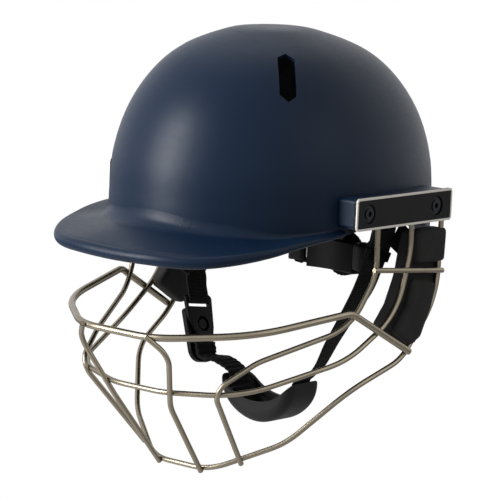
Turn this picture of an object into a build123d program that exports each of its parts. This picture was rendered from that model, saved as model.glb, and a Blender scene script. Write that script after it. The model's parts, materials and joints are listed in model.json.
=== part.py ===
from build123d import *
import math
import os

# Cricket helmet: shell with peak, foam liner, wire face guard, chin strap and rear dial adjuster.
# Millimetres. +Z is up, the helmet faces -Y and the wearer's left is +X. The origin is the centre of the
# head opening, level with the lower rim above the ears.

os.makedirs("parts", exist_ok=True)

# Shell: a dome of two half ovals over a straight skirt
shell_half_width = 105.5
shell_front_reach = 114.5
shell_rear_reach = 139.0
shell_widest_y = -14.0
crown_rise = 128.0
crown_base_z = 1.6
crown_power = 2.31
crown_angle_step = 15
skirt_depth = 34.0
shell_wall = 3.0

# Lower rim of the shell, seen from the side
rim_front_z = -12.0
rim_side_z = 0.5
rim_rear_z = -21.0
rim_front_turn_y = -78.0
rim_side_front_y = -28.0
rim_side_rear_y = 58.0
rim_rear_turn_y = 104.0
rim_bend_radius = 25.0

# Peak: sections that radiate from one centre, out to an edge of superellipse plan
peak_centre_y = -27.0
peak_side_inset = 1.3
peak_half_width = shell_half_width - peak_side_inset
peak_overhang = 42.5
peak_reach = peak_centre_y - shell_widest_y + shell_front_reach + peak_overhang
peak_power = 2.86
peak_edge_z = -1.8
peak_tip_drop = 24.4
peak_bead_height = 7.0
peak_sheet = 3.2
peak_crease_rise = 17.7
peak_root_blend = 6.0
peak_root_sink = 1.8
peak_heel_share = 0.95
# Angle from straight ahead, then the shares of the crease rise, of the bead height and of the root blend
peak_station_shares = (
    (0, 1.0, 1.0, 1.0),
    (14, 0.89, 1.0, 0.95),
    (28, 0.63, 0.97, 0.85),
    (40, 0.32, 0.89, 0.7),
    (50, 0.06, 0.77, 0.5),
    (58, -0.02, 0.66, 0.35),
    (66, -0.03, 0.57, 0.25),
    (73, -0.03, 0.51, 0.2),
    (80, -0.02, 0.49, 0.15),
)

# Vents: six-sided slots, one pair in front and one pair behind
vent_width = 12.0
vent_side_length = 33.0
vent_tip = 5.2
vent_liner_gap = 1.0
vent_reach = 34.0
vent_front_azimuth = 53.5
vent_rear_azimuth = 138.0
vent_front_lift = 49.8
vent_rear_lift = 46.0
vent_twist = 8.0

# Foam liner and comfort pads
fit_gap = 0.3
liner_thickness = 18.0
liner_rim_lift = 4.0
pad_depth = 7.0
pad_edge_share = 0.55
pad_side_draw = 2.0
pad_end_radius = 2.4
brow_pad_height = 30.0
brow_pad_low_z = 3.0
brow_pad_half_angle = 50.0
side_pad_height = 34.0
side_pad_low_z = 18.0
side_pad_start_angle = 58.0
side_pad_end_angle = 88.0

# Pods over the grille ends, and the plates screwed on them
pod_front_y = -49.5
pod_rear_y = 53.5
pod_low_z = 2.0
pod_high_z = 23.0
pod_face_x = 115.6
pod_root_x = 88.0
pod_edge_radius = 1.6
pod_shell_gap = 0.1
plate_thickness = 2.4
plate_corner_radius = 2.6
border_width = 1.5
border_depth = 1.0
screw_front_y = -36.3
screw_rear_y = 37.0
screw_z = 12.4
plate_floor = 0.6
washer_radius = 6.0
washer_thickness = 0.8
screw_head_radius = 4.2
screw_head_height = 0.9
screw_shank_radius = 2.5
screw_socket_size = 2.1
screw_socket_depth = 2.0
screw_clearance = 0.3
thread_gap = 0.05
nut_flange_radius = 7.0
nut_flange_thickness = 1.5
nut_barrel_radius = 3.5
nut_barrel_length = 6.6
nut_pocket_gap = 0.5
nut_flange_standoff = 2.9

# Face guard wires
main_bar_radius = 2.15
bar_radius = 1.7
channel_width = 7.4
channel_gap = 0.05
upright_x = pod_face_x - bar_radius - channel_gap
upright_top_z = 19.0
front_upright_y = -22.5
middle_upright_y = 14.0
rear_upright_y = 49.0
bend_share = 0.45
main_bar_route = ((35.0, -160.0, -74.0), (89.0, -117.5, -68.5), (110.0, -41.5, -57.5), (117.0, 24.0, -94.0))
main_bar_bends = (50.0, 80.0, 12.0)
middle_bar_route = (
    (23.0, -136.5, -116.0), (76.5, -116.0, -113.0), (106.5, -39.5, -92.0), (112.6, 5.5, -63.0),
    (upright_x, 16.0, -16.0), (upright_x, middle_upright_y, upright_top_z),
)
middle_bar_bends = (50.0, 80.0, 80.0, 60.0, 60.0)
lower_bar_route = (
    (26.5, -88.5, -177.0), (71.5, -60.0, -154.0), (101.5, -28.5, -115.0), (112.5, 12.5, -96.0),
    (upright_x, 47.5, -55.0), (upright_x, rear_upright_y, upright_top_z),
)
lower_bar_bends = (40.0, 60.0, 60.0, 40.0, 60.0)
cheek_bar_route = (
    (upright_x, front_upright_y, upright_top_z), (upright_x, -21.0, -32.0), (106.0, -37.0, -69.0),
    (76.5, -99.5, -91.0), (63.3, -129.0, -109.7), (46.3, -77.3, -170.7),
)
cheek_bar_bends = (40.0, 60.0, 50.0, 12.0)
nose_bar_route = ((30.0, -163.0, -73.0), (42.0, -152.0, -86.0), (26.5, -131.5, -126.5), (19.8, -89.6, -179.0))
nose_bar_bends = (20.0, 40.0)
side_link_sink = 0.6
side_link_front = (-24.0, -28.0)
side_link_rear = (52.0, -35.0)

# Foam cheek pads, moulded round the wires
cheek_pad_inner_x = 101.0
cheek_pad_outer_x = 111.4
cheek_boss_x = 117.2
cheek_wire_gap = 0.35
cheek_slab_outline = (
    (19.0, -5.0), (54.0, -5.0), (53.5, -30.0), (46.0, -62.0), (30.0, -86.0), (17.0, -88.0), (-10.0, -71.0),
    (3.0, -56.0), (12.0, -36.0),
)
upper_boss_outline = ((20.0, -4.0), (52.5, -4.0), (52.0, -29.0), (20.0, -27.0))
lower_boss_outline = (
    (19.5, -38.0), (50.0, -43.0), (44.5, -61.0), (31.0, -81.0), (19.0, -86.0), (0.0, -73.0), (14.5, -56.0),
)
cheek_outline_radius = 3.0
cheek_crown_radius = 2.4

# Chin strap: webbing hung on a rivet at each side, a moulded cup and a buckle
strap_width = 20.0
strap_thickness = 1.5
strap_pivot_y = 12.0
strap_pivot_z = 12.0
tab_outer_x = 97.4
tab_thickness = 1.8
tab_head_radius = 9.0
tab_foot_z = 0.5
tab_foot_half_width = 10.0
strap_sewing_gap = 0.25
strap_top_z = 5.5
strap_middle_z = 1.5
strap_foot_z = -2.5
rivet_radius = 3.0
rivet_head_radius = 5.5
rivet_head_thickness = 1.5
rivet_shoulder_radius = 4.5
rivet_shoulder_end_x = 99.7
rivet_cap_x = 104.5
rivet_cap_recess_radius = 6.4
rivet_cap_recess_x = 106.6
rivet_running_gap = 0.05
strap_pocket_half_width = 20.0
strap_pocket_top_z = 26.0
strap_pocket_inner_x = 92.4
# Centre of the webbing and the angle its width turns from the Y direction
left_strap_route = (
    (92.0, 10.4, -15.3, 4), (87.0, 6.8, -33.6, 8), (82.0, 5.1, -47.7, 12), (74.0, 2.7, -63.8, 12),
    (65.0, 1.5, -80.9, 12), (56.0, 0.1, -96.7, 10),
)
right_strap_route = ((-92.0, 10.4, -15.3, -4), (-87.0, 6.8, -33.6, -8), (-84.0, 4.0, -56.0, -4))
rear_strap_width = 12.0
rear_strap_thickness = 1.2
rear_strap_route = (
    (94.2, 34.5, -5.9, 6), (95.2, 29.0, -10.5, 6), (95.4, 24.0, -15.2, 6), (94.3, 20.4, -20.3, 6),
)
rear_hook_y = 36.0
rear_hook_low_z = -1.2
rear_hook_high_z = 4.2
rear_hook_inner_x = 91.5
rear_hook_depth = 6.0
rear_hook_round = 1.0
divider_place = (89.6, 8.7, -24.0)
divider_run = (5.0, 3.6, 18.3)
divider_turn = 6.0
divider_length = 7.0
divider_wall = 1.5
divider_gap = 0.25

# Chin cup: a trough with rounded lower edges and a saddle rim
cup_y = -3.0
cup_z = -124.3
cup_tilt = 5.5
cup_half_length = 49.0
cup_depth = 35.0
cup_half_width = 21.0
cup_wall = 3.0
cup_edge_radius = 9.0
cup_rim_rise = 4.0
cup_saddle_z = -19.0
cup_strap_gap = 0.15
cup_strap_entry = (45.0, 6.8)
cup_strap_high_angle = -4.0
cup_strap_mid_angle = 6.0
cup_strap_low_angle = 18.0
cup_band_top = -10.8
cup_band_half_width = 8.0

# Buckle on the right strap: front plate, rear body and a round button between them
buckle_centre = (-67.3, 1.2, -97.8)
buckle_top = (-76.5, 2.0, -76.0)
buckle_foot = (-58.5, -4.2, -119.0)
plate_outline = (
    (-12.0, 20.5), (-9.5, 23.0), (13.0, 23.0), (15.0, 20.5), (12.6, -2.0), (9.6, -11.5), (-5.0, -11.5),
    (-8.0, -3.0), (-12.0, 6.0),
)
plate_front = 1.0
plate_back = -2.0
plate_round = 2.0
plate_edge_break = 0.7
plate_slot_low = 13.9
plate_slot_high = 18.0
plate_slot_half_width = 10.6
loop_bar_high = 21.8
loop_gap = 0.15
body_half_width = 12.4
body_top = 13.7
body_foot = -27.0
body_back = -6.6
body_gap = 0.1
body_foot_radius = 9.0
body_top_radius = 3.0
body_edge_break = 1.6
button_radius = 4.2
button_u = 1.5
button_v = 0.9
button_front = 0.4
button_rear = -3.7
button_bore_floor = -5.5
button_gap = 0.08
button_dome = 0.5
octagon_radius = 6.1
octagon_sides = 8
gather_thickness = 4.0
gather_height = 0.5
gather_start = -13.0
gather_end = -22.0
cup_entry_route = ((-52.5, 10.5, 0, 3.0), (-46.4, 8.0, 0, 1.5), (-45.0, 4.8, 0, 1.5))

# Rear adjuster: two rack arms on one arc, drawn in by a pinion under a dial
arc_centre_y = -3.0
arc_radius = 75.0
arm_thickness = 2.4
cradle_z = -42.0
pinion_teeth = 10
tooth_module = 0.9
tooth_addendum = 0.7
tooth_dedendum = 1.0
tooth_tip_half_width = 0.32
tooth_root_half_width = 0.8
tooth_sink = 0.3
rack_teeth = 8
rack_teeth_past_centre = 2
rack_bar_height = 3.6
rack_end_angle = -13.0
rack_overlap_angle = 1.5
pinion_length = 3.6
arm_running_gap = 0.4
housing_half_angle = 18.0
housing_inner_radius = 70.0
housing_outer_radius = 80.0
housing_wall = 1.7
housing_edge_radius = 1.2
cover_seat_gap = 0.05
gear_pocket_gap = 0.4
gear_pocket_front_y = 69.4
gear_end_gap = 0.3
shaft_radius = 3.0
shaft_running_gap = 0.06
dial_radius = 16.5
dial_thickness = 8.0
dial_standoff = 0.4
dial_flutes = 30
dial_flute_radius = 0.85
dial_edge_break = 1.0
dial_dish_radius = 11.0
dial_dish_depth = 1.2
dial_bore_depth = 5.0
# Angle from the rear, then the lower and the upper edge of the arm
arm_stations = (
    (20.0, -50.0, -30.5), (22.0, -52.0, -28.5), (26.0, -51.0, -28.0), (30.0, -44.0, -28.0), (35.0, -34.5, -24.5),
    (42.0, -22.5, -12.0), (49.0, -9.0, 2.0), (53.0, -2.0, 9.5), (57.0, 1.9, 13.0), (62.0, 2.0, 13.0),
    (67.0, 2.0, 13.0), (73.0, 2.0, 13.0),
)
guide_start_angle = 67.0
guide_end_angle = 84.0
guide_low_z = -1.0
guide_high_z = 16.0
guide_inner_radius = 71.5
guide_outer_radius = 78.5
guide_wall = 1.9
guide_end_wall_angle = 1.0
guide_boss_radius = 86.0
guide_boss_start_angle = 71.0
guide_boss_end_angle = 81.0
guide_boss_low_z = 6.0
rear_pad_depth = 6.0
rear_pad_start_angle = 20.5
rear_pad_end_angle = 29.5
rear_pad_low_z = -49.0
rear_pad_high_z = -30.0
rear_pad_round = 2.0
rear_pad_gap = 0.1
hanger_route = (
    (72.0, -30.55), (72.1, -26.0), (75.0, -18.0), (84.5, -7.0), (95.5, 1.5), (101.2, 11.0), (101.8, 18.0), (100.4, 28.0),
)
hanger_width = 12.0
hanger_thickness = 1.6

# One run past a face for every through cut
overrun = 20.0


def oval_share(angle, power):
    """Cosine and sine of an angle, raised so that they trace a fuller curve than a circle."""
    turn = math.radians(angle)
    return abs(math.cos(turn)) ** (2 / power), abs(math.sin(turn)) ** (2 / power)


def crown_half(inset, side):
    """One half of the dome and skirt, drawn in by an inset: side 1 is the rear, side -1 the front."""
    half_width = shell_half_width - inset
    reach = (shell_rear_reach if side > 0 else shell_front_reach) - inset
    rise = crown_rise - inset
    base = (0, shell_widest_y, crown_base_z)
    rim = [oval_share(angle, crown_power) for angle in range(0, 90 + crown_angle_step, crown_angle_step)]
    edge = [(side * half_width * across, rise * up) for across, up in rim]
    with BuildPart() as half:
        with BuildSketch(Plane(origin=base, x_dir=(1, 0, 0), z_dir=(0, -1, 0))):
            with BuildLine():
                Spline(*edge, tangents=((0, 1), (-side, 0)))
                Polyline((0, rise), (0, -skirt_depth), (side * half_width, -skirt_depth), edge[0])
            make_face()
        revolve(axis=Axis(base, (0, 0, 1)), revolution_arc=180)
        scale(by=(1, reach / half_width, 1), about=base)
    return half.part


def crown(inset):
    """The whole dome and skirt as one solid, drawn in by an inset."""
    with BuildPart() as solid:
        add(crown_half(inset, 1))
        add(crown_half(inset, -1))
    return solid.part


def crown_x(y, inset=0.0):
    """Half width of the dome's skirt at a place along Y."""
    reach = (shell_rear_reach if y > shell_widest_y else shell_front_reach) - inset
    return (shell_half_width - inset) * math.sqrt(1 - ((y - shell_widest_y) / reach) ** 2)


def rim_cutter(lift):
    """Everything below the rim line, raised by a lift."""
    front_y = shell_widest_y - shell_front_reach - overrun
    rear_y = shell_widest_y + shell_rear_reach + overrun
    floor_z = crown_base_z - skirt_depth - overrun
    line = [
        (front_y, rim_front_z + lift), (rim_front_turn_y, rim_front_z + lift),
        (rim_side_front_y, rim_side_z + lift), (rim_side_rear_y, rim_side_z + lift),
        (rim_rear_turn_y, rim_rear_z + lift), (rear_y, rim_rear_z + lift),
    ]
    with BuildPart() as cutter:
        with BuildSketch(Plane.YZ):
            with BuildLine():
                FilletPolyline(*line, radius=rim_bend_radius)
                Polyline(line[-1], (rear_y, floor_z), (front_y, floor_z), line[0])
            make_face()
        extrude(amount=shell_half_width + overrun, both=True)
    return cutter.part


def vent_plane(azimuth, lift, twist):
    """A plane on the dome's surface, facing out, with its Y direction up the dome."""
    across, up = oval_share(lift, crown_power)
    turn = math.radians(azimuth)
    reach = shell_front_reach if azimuth < 90 else shell_rear_reach
    x = shell_half_width * across * math.sin(turn)
    y = -reach * across * math.cos(turn)
    z = crown_rise * up
    radial = across ** (crown_power - 2)
    out = Vector(
        x / shell_half_width**2 * radial,
        y / reach**2 * radial,
        z ** (crown_power - 1) / crown_rise**crown_power,
    ).normalized()
    level = Vector(-out.Y, out.X, 0).normalized()
    plane = Plane(origin=(x, y + shell_widest_y, z + crown_base_z), x_dir=level, z_dir=out)
    return plane.rotated((0, 0, twist))


def vent_cutter(grow, depth):
    """All four vent slots, grown by a margin, through to a depth each way."""
    half = vent_width / 2 + grow
    shoulder = vent_side_length / 2 + grow / 2
    tip = shoulder + vent_tip + grow / 2
    with BuildPart() as cutter:
        for azimuth, lift, twist in (
            (vent_front_azimuth, vent_front_lift, -vent_twist),
            (vent_rear_azimuth, vent_rear_lift, vent_twist),
        ):
            with BuildSketch(vent_plane(azimuth, lift, twist)):
                with BuildLine():
                    Polyline(
                        (half, -shoulder), (half, shoulder), (0, tip), (-half, shoulder), (-half, -shoulder),
                        (0, -tip), close=True,
                    )
                make_face()
            extrude(amount=depth, both=True)
        mirror(about=Plane.YZ)
    return cutter.part


def rod(points, bends, radius):
    """A round rod along straight runs joined by arcs."""
    start, following = Vector(*points[0]), Vector(*points[1])
    with BuildPart() as solid:
        with BuildLine() as path:
            FilletPolyline(*points, radius=eased_bends(points, bends))
        with BuildSketch(Plane(origin=start, z_dir=following - start)):
            Circle(radius)
        sweep(path=path.line)
    return solid.part


def mirrored_route(route):
    """A route from the right side to the left, from its left half."""
    return [(-x, y, z) for x, y, z in reversed(route)] + list(route)


def eased_bends(points, bends):
    """The wished bend radii, each cut down to what its two runs leave room for."""
    places = [Vector(*point) for point in points]
    radii = []
    for before, corner, after, bend in zip(places, places[1:], places[2:], bends):
        run, following = corner - before, after - corner
        turn = math.radians(run.get_angle(following))
        room = bend_share * min(run.length, following.length) / math.tan(turn / 2)
        radii.append(min(bend, room))
    return radii


def strap(route, width, thickness):
    """Webbing lofted through sections along a route; a fifth value at a stop is its own thickness."""
    places = [Vector(*stop[:3]) for stop in route]
    with BuildPart() as solid:
        for index, stop in enumerate(route):
            before = places[max(index - 1, 0)]
            after = places[min(index + 1, len(places) - 1)]
            run = (after - before).normalized()
            turn = math.radians(stop[3])
            across = Vector(math.sin(turn), math.cos(turn), 0)
            across = (across - run * across.dot(run)).normalized()
            with BuildSketch(Plane(origin=places[index], x_dir=across, z_dir=run)):
                Rectangle(width, stop[4] if len(stop) > 4 else thickness)
        loft(ruled=True)
    return solid.part


def arc_plane(angle, z=0.0):
    """A plane that faces out from the adjuster's axis at an angle from the rear, its Y direction up."""
    turn = math.radians(angle)
    return Plane(
        origin=(0, arc_centre_y, z), x_dir=(-math.cos(turn), math.sin(turn), 0),
        z_dir=(math.sin(turn), math.cos(turn), 0),
    )


def arc_point(radius, angle):
    """A point about the adjuster's axis, its angle measured from the rear towards +X."""
    turn = math.radians(angle)
    return radius * math.sin(turn), arc_centre_y + radius * math.cos(turn)


def arc_sector(inner, outer, start, end, low_z, high_z):
    """A curved block about the adjuster's axis."""
    middle = (start + end) / 2
    with BuildPart() as solid:
        with BuildSketch(Plane.XY.offset(low_z)):
            with BuildLine():
                ThreePointArc(arc_point(inner, start), arc_point(inner, middle), arc_point(inner, end))
                Line(arc_point(inner, end), arc_point(outer, end))
                ThreePointArc(arc_point(outer, end), arc_point(outer, middle), arc_point(outer, start))
                Line(arc_point(outer, start), arc_point(inner, start))
            make_face()
        extrude(amount=high_z - low_z)
    return solid.part


def write(builder, label):
    """Labels a finished piece and writes it."""
    builder.part.label = label
    export_step(builder.part, f"parts/{label}.step")


def write_pair(builder, label):
    """Writes a left piece and its mirror image."""
    write(builder, f"{label}_left")
    with BuildPart() as other:
        mirror(builder.part, about=Plane.YZ)
    write(other, f"{label}_right")


# Solids that several pieces are cut from or fitted to
liner_outer_inset = shell_wall + fit_gap
liner_inner_inset = liner_outer_inset + liner_thickness
crown_outside = crown(0.0)
crown_inside = [crown_half(shell_wall, side) for side in (1, -1)]
crown_clear = [crown_half(-pod_shell_gap, side) for side in (1, -1)]
below_rim = rim_cutter(0.0)
vent_slots = vent_cutter(0.0, overrun)
screw_places = ((screw_front_y, screw_z), (screw_rear_y, screw_z))


def peak_section(angle, crease_share, bead_share, blend_share):
    """One radial section of the peak, from inside the shell wall out to the edge bead."""
    turn = math.radians(angle)
    ahead, aside = math.cos(turn), math.sin(turn)
    offset = peak_centre_y - shell_widest_y
    a = (aside / shell_half_width) ** 2 + (ahead / shell_front_reach) ** 2
    b = -2 * offset * ahead / shell_front_reach**2
    c = (offset / shell_front_reach) ** 2 - 1
    root = (-b + math.sqrt(b * b - 4 * a * c)) / (2 * a)
    spread = (abs(aside) / peak_half_width) ** peak_power + (ahead / peak_reach) ** peak_power
    edge = spread ** (-1 / peak_power)
    low = peak_edge_z - peak_tip_drop * (edge * ahead / peak_reach) ** (peak_power / 2)
    bead = peak_bead_height * bead_share
    top = low + bead
    crease = top + peak_crease_rise * crease_share
    sink = root - peak_root_sink
    shoulder = edge - bead / 2
    slope = (top - crease) / (shoulder - root)
    blend = peak_root_blend * blend_share
    foot = root + min(blend, (shoulder - root) / 2)
    heel = edge - bead * peak_heel_share
    plane = Plane(origin=(0, peak_centre_y, 0), x_dir=(aside, -ahead, 0), z_dir=(-ahead, -aside, 0))
    with BuildSketch(plane) as section:
        with BuildLine():
            foot_z = crease + slope * (foot - root)
            Line((sink, crease + blend), (root, crease + blend))
            Spline((root, crease + blend), (foot, foot_z), tangents=((0, -1), (1, slope)))
            Line((foot, foot_z), (shoulder, top))
            ThreePointArc((shoulder, top), (edge, low + bead / 2), (shoulder, low))
            heel_z = crease + slope * (heel - root) - peak_sheet
            Line((shoulder, low), (heel, heel_z))
            Line((heel, heel_z), (sink, crease - peak_sheet))
            Line((sink, crease - peak_sheet), (sink, crease + blend))
        make_face()
    return section.sketch


def peak_solid():
    """The peak, lofted through its radial sections from side to side."""
    with BuildPart() as solid:
        for station in reversed(peak_station_shares[1:]):
            add(peak_section(-station[0], *station[1:]))
        for station in peak_station_shares:
            add(peak_section(*station))
        loft()
    return solid.part


def round_pin(y, z, radius, inner_x, outer_x):
    """A round pin along X."""
    with BuildPart() as solid:
        with BuildSketch(Plane.YZ.offset(inner_x)):
            with Locations((y, z)):
                Circle(radius)
        extrude(amount=outer_x - inner_x)
    return solid.part


def side_block(outline, inner_x, outer_x, corner_radius, crowned):
    """A block along X from an outline of (y, z) points, its inner (0) or outer (-1) face crowned."""
    with BuildPart() as solid:
        with BuildSketch(Plane.YZ.offset(inner_x)) as face:
            with BuildLine():
                Polyline(*outline, close=True)
            make_face()
            fillet(face.vertices(), corner_radius)
        extrude(amount=outer_x - inner_x)
        fillet(solid.faces().sort_by(Axis.X)[crowned].edges(), cheek_crown_radius)
    return solid.part


def side_panel(margin, inner_x, outer_x):
    """A panel along X with the pod's outline, drawn in by a margin."""
    half_length = (pod_rear_y - pod_front_y) / 2 - margin
    half_height = (pod_high_z - pod_low_z) / 2 - margin
    middle = ((pod_rear_y + pod_front_y) / 2, (pod_high_z + pod_low_z) / 2)
    with BuildPart() as solid:
        with BuildSketch(Plane.YZ.offset(inner_x)):
            with Locations(middle):
                RectangleRounded(2 * half_length, 2 * half_height, plate_corner_radius - margin)
        extrude(amount=outer_x - inner_x)
    return solid.part


# Faces and places that the side pieces share
plate_outer_x = pod_face_x + plate_thickness
washer_seat_x = pod_face_x + plate_floor
head_seat_x = washer_seat_x + washer_thickness
upright_ys = (front_upright_y, middle_upright_y, rear_upright_y)


def nut_face_x(y):
    """Where a nut's flange lies inside the shell at a place along Y."""
    return crown_x(y, shell_wall) - nut_flange_standoff


def grille_rods(grow):
    """Every wire that reaches a left side pad or pod, grown by a margin."""
    with BuildPart() as solid:
        for half_route, bends, radius in (
            (main_bar_route, main_bar_bends, main_bar_radius),
            (middle_bar_route, middle_bar_bends, bar_radius),
            (lower_bar_route, lower_bar_bends, bar_radius),
        ):
            add(rod(mirrored_route(half_route), bends[::-1] + bends, radius + grow))
        add(rod(cheek_bar_route, cheek_bar_bends, bar_radius + grow))
    return solid.part


# Shell with its peak, vents and fixing holes
with BuildPart() as shell:
    add(crown_outside)
    add(below_rim, mode=Mode.SUBTRACT)
    add(peak_solid())
    add(crown_inside, mode=Mode.SUBTRACT)
    add(vent_slots, mode=Mode.SUBTRACT)
    for side in (1, -1):
        for y, z in screw_places:
            hole = round_pin(y, z, nut_barrel_radius + thread_gap, nut_face_x(y), pod_face_x)
            add(hole if side > 0 else mirror(hole, about=Plane.YZ, mode=Mode.PRIVATE), mode=Mode.SUBTRACT)
        hole = round_pin(strap_pivot_y, strap_pivot_z, rivet_radius + rivet_running_gap, tab_outer_x, pod_face_x)
        add(hole if side > 0 else mirror(hole, about=Plane.YZ, mode=Mode.PRIVATE), mode=Mode.SUBTRACT)
write(shell, "shell")

# Foam liner, with the vents, pockets for the strap tabs and seats for the nuts
with BuildPart() as liner:
    add(crown(liner_outer_inset))
    for side in (1, -1):
        add(crown_half(liner_inner_inset, side), mode=Mode.SUBTRACT)
    add(rim_cutter(liner_rim_lift), mode=Mode.SUBTRACT)
    add(vent_cutter(vent_liner_gap, vent_reach), mode=Mode.SUBTRACT)
    for side in (1, -1):
        with BuildSketch(Plane.YZ.offset(side * strap_pocket_inner_x)):
            with Locations((strap_pivot_y, strap_pocket_top_z)):
                Rectangle(2 * strap_pocket_half_width, shell_half_width, align=(Align.CENTER, Align.MAX))
        extrude(amount=side * shell_half_width, mode=Mode.SUBTRACT)
        for y, z in screw_places:
            floor_x = nut_face_x(y) - nut_flange_thickness - nut_pocket_gap
            with BuildSketch(Plane.YZ.offset(side * floor_x)):
                with Locations((y, z)):
                    Circle(nut_flange_radius + nut_pocket_gap)
            extrude(amount=side * shell_half_width, mode=Mode.SUBTRACT)
write(liner, "liner")


def pad_ring(start_angle, end_angle, low_z, height, depth):
    """A crowned comfort pad on the liner's front half, between two angles from straight ahead."""
    inset = liner_inner_inset + fit_gap
    half_width = shell_half_width - inset
    rise = crown_rise - inset
    turn = math.radians(start_angle)
    heights = [low_z - crown_base_z, low_z + height / 2 - crown_base_z, low_z + height - crown_base_z]
    back = [half_width * (1 - (z / rise) ** crown_power) ** (1 / crown_power) for z in heights]
    heights = [z + crown_base_z for z in heights]
    centre = (0, shell_widest_y, 0)
    with BuildPart() as pad:
        with BuildSketch(
            Plane(origin=centre, x_dir=(math.sin(turn), -math.cos(turn), 0), z_dir=(-math.cos(turn), -math.sin(turn), 0))
        ):
            with BuildLine():
                ThreePointArc(*zip(back, heights))
                edge = depth * pad_edge_share
                Line((back[2], heights[2]), (back[2] - edge, heights[2] - pad_side_draw))
                ThreePointArc(
                    (back[2] - edge, heights[2] - pad_side_draw), (back[1] - depth, heights[1]),
                    (back[0] - edge, heights[0] + pad_side_draw),
                )
                Line((back[0] - edge, heights[0] + pad_side_draw), (back[0], heights[0]))
            make_face()
        revolve(axis=Axis(centre, (0, 0, 1)), revolution_arc=end_angle - start_angle)
        bulges = [
            end.edges().filter_by(GeomType.CIRCLE).sort_by_distance(centre)[0]
            for end in pad.faces().filter_by(GeomType.PLANE)
        ]
        fillet(bulges, pad_end_radius)
        scale(by=(1, (shell_front_reach - inset) / half_width, 1), about=centre)
    return pad.part


# Comfort pads behind the brow, beside the temples and under the crown
with BuildPart() as brow_pad:
    add(pad_ring(-brow_pad_half_angle, brow_pad_half_angle, brow_pad_low_z, brow_pad_height, pad_depth))
write(brow_pad, "brow_pad")

with BuildPart() as side_pad:
    add(pad_ring(side_pad_start_angle, side_pad_end_angle, side_pad_low_z, side_pad_height, pad_depth))
write_pair(side_pad, "side_pad")

# Pod over the grille ends, hollowed to the shell and channelled for the uprights
with BuildPart() as pod:
    add(side_panel(0, pod_root_x, pod_face_x))
    fillet(pod.faces().sort_by(Axis.X)[-1].edges(), pod_edge_radius)
    add(crown_clear, mode=Mode.SUBTRACT)
    with BuildSketch(Plane.YZ.offset(upright_x - bar_radius - channel_gap)):
        for y in upright_ys:
            with Locations((y, pod_low_z)):
                Rectangle(channel_width, shell_half_width)
    extrude(amount=plate_thickness + overrun, mode=Mode.SUBTRACT)
    for y, z in screw_places:
        add(round_pin(y, z, nut_barrel_radius + thread_gap, pod_root_x, nut_face_x(y) + nut_barrel_length
            + nut_pocket_gap), mode=Mode.SUBTRACT)
        add(round_pin(y, z, screw_shank_radius + screw_clearance, pod_root_x, pod_face_x), mode=Mode.SUBTRACT)
    add(
        round_pin(strap_pivot_y, strap_pivot_z, rivet_cap_recess_radius, pod_root_x, rivet_cap_recess_x),
        mode=Mode.SUBTRACT,
    )
write_pair(pod, "pod")

# Side plate with a rebate for its border and seats for the washers
with BuildPart() as badge:
    add(side_panel(0, pod_face_x, plate_outer_x))
    rim_ring = side_panel(0, plate_outer_x - border_depth, plate_outer_x) - side_panel(
        border_width, plate_outer_x - border_depth, plate_outer_x
    )
    add(rim_ring, mode=Mode.SUBTRACT)
    for y, z in screw_places:
        add(round_pin(y, z, washer_radius + screw_clearance, washer_seat_x, plate_outer_x), mode=Mode.SUBTRACT)
        add(round_pin(y, z, screw_shank_radius + screw_clearance, pod_face_x, plate_outer_x), mode=Mode.SUBTRACT)
write_pair(badge, "badge")

with BuildPart() as badge_border:
    add(side_panel(0, plate_outer_x - border_depth, plate_outer_x))
    add(side_panel(border_width, plate_outer_x - border_depth, plate_outer_x), mode=Mode.SUBTRACT)
write_pair(badge_border, "badge_border")

# Socket screws, their washers and the flanged nuts behind the shell
with BuildPart() as badge_screws:
    for y, z in screw_places:
        tip_x = nut_face_x(y)
        add(round_pin(y, z, screw_shank_radius, tip_x, head_seat_x))
        add(round_pin(y, z, screw_head_radius, head_seat_x, head_seat_x + screw_head_height))
        with BuildSketch(Plane.YZ.offset(head_seat_x + screw_head_height)):
            with Locations((y, z)):
                RegularPolygon(screw_socket_size, 6)
        extrude(amount=-screw_socket_depth, mode=Mode.SUBTRACT)
write_pair(badge_screws, "badge_screws")

with BuildPart() as badge_washers:
    for y, z in screw_places:
        add(round_pin(y, z, washer_radius, washer_seat_x, head_seat_x))
        add(round_pin(y, z, screw_shank_radius + thread_gap, washer_seat_x, head_seat_x), mode=Mode.SUBTRACT)
write_pair(badge_washers, "badge_washers")

with BuildPart() as badge_nuts:
    for y, z in screw_places:
        face_x = nut_face_x(y)
        add(round_pin(y, z, nut_flange_radius, face_x - nut_flange_thickness, face_x))
        add(round_pin(y, z, nut_barrel_radius, face_x, face_x + nut_barrel_length))
        add(
            round_pin(y, z, screw_shank_radius + thread_gap, face_x - nut_flange_thickness,
                face_x + nut_barrel_length),
            mode=Mode.SUBTRACT,
        )
write_pair(badge_nuts, "badge_nuts")

# Face guard: three bars across, cheek and nose bars, and a link along each side
for label, half_route, bends, radius in (
    ("main_bar", main_bar_route, main_bar_bends, main_bar_radius),
    ("middle_bar", middle_bar_route, middle_bar_bends, bar_radius),
    ("lower_bar", lower_bar_route, lower_bar_bends, bar_radius),
):
    with BuildPart() as bar:
        add(rod(mirrored_route(half_route), bends[::-1] + bends, radius))
    write(bar, label)

with BuildPart() as cheek_bar:
    add(rod(cheek_bar_route, cheek_bar_bends, bar_radius))
write_pair(cheek_bar, "cheek_bar")

with BuildPart() as nose_bar:
    add(rod(nose_bar_route, nose_bar_bends, bar_radius))
write_pair(nose_bar, "nose_bar")

link_x = upright_x + 2 * bar_radius - side_link_sink
with BuildPart() as side_link:
    start = Vector(link_x, *side_link_front)
    run = Vector(link_x, *side_link_rear) - start
    with BuildSketch(Plane(origin=start, z_dir=run)):
        Circle(bar_radius)
    extrude(amount=run.length)
write_pair(side_link, "side_link")

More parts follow.
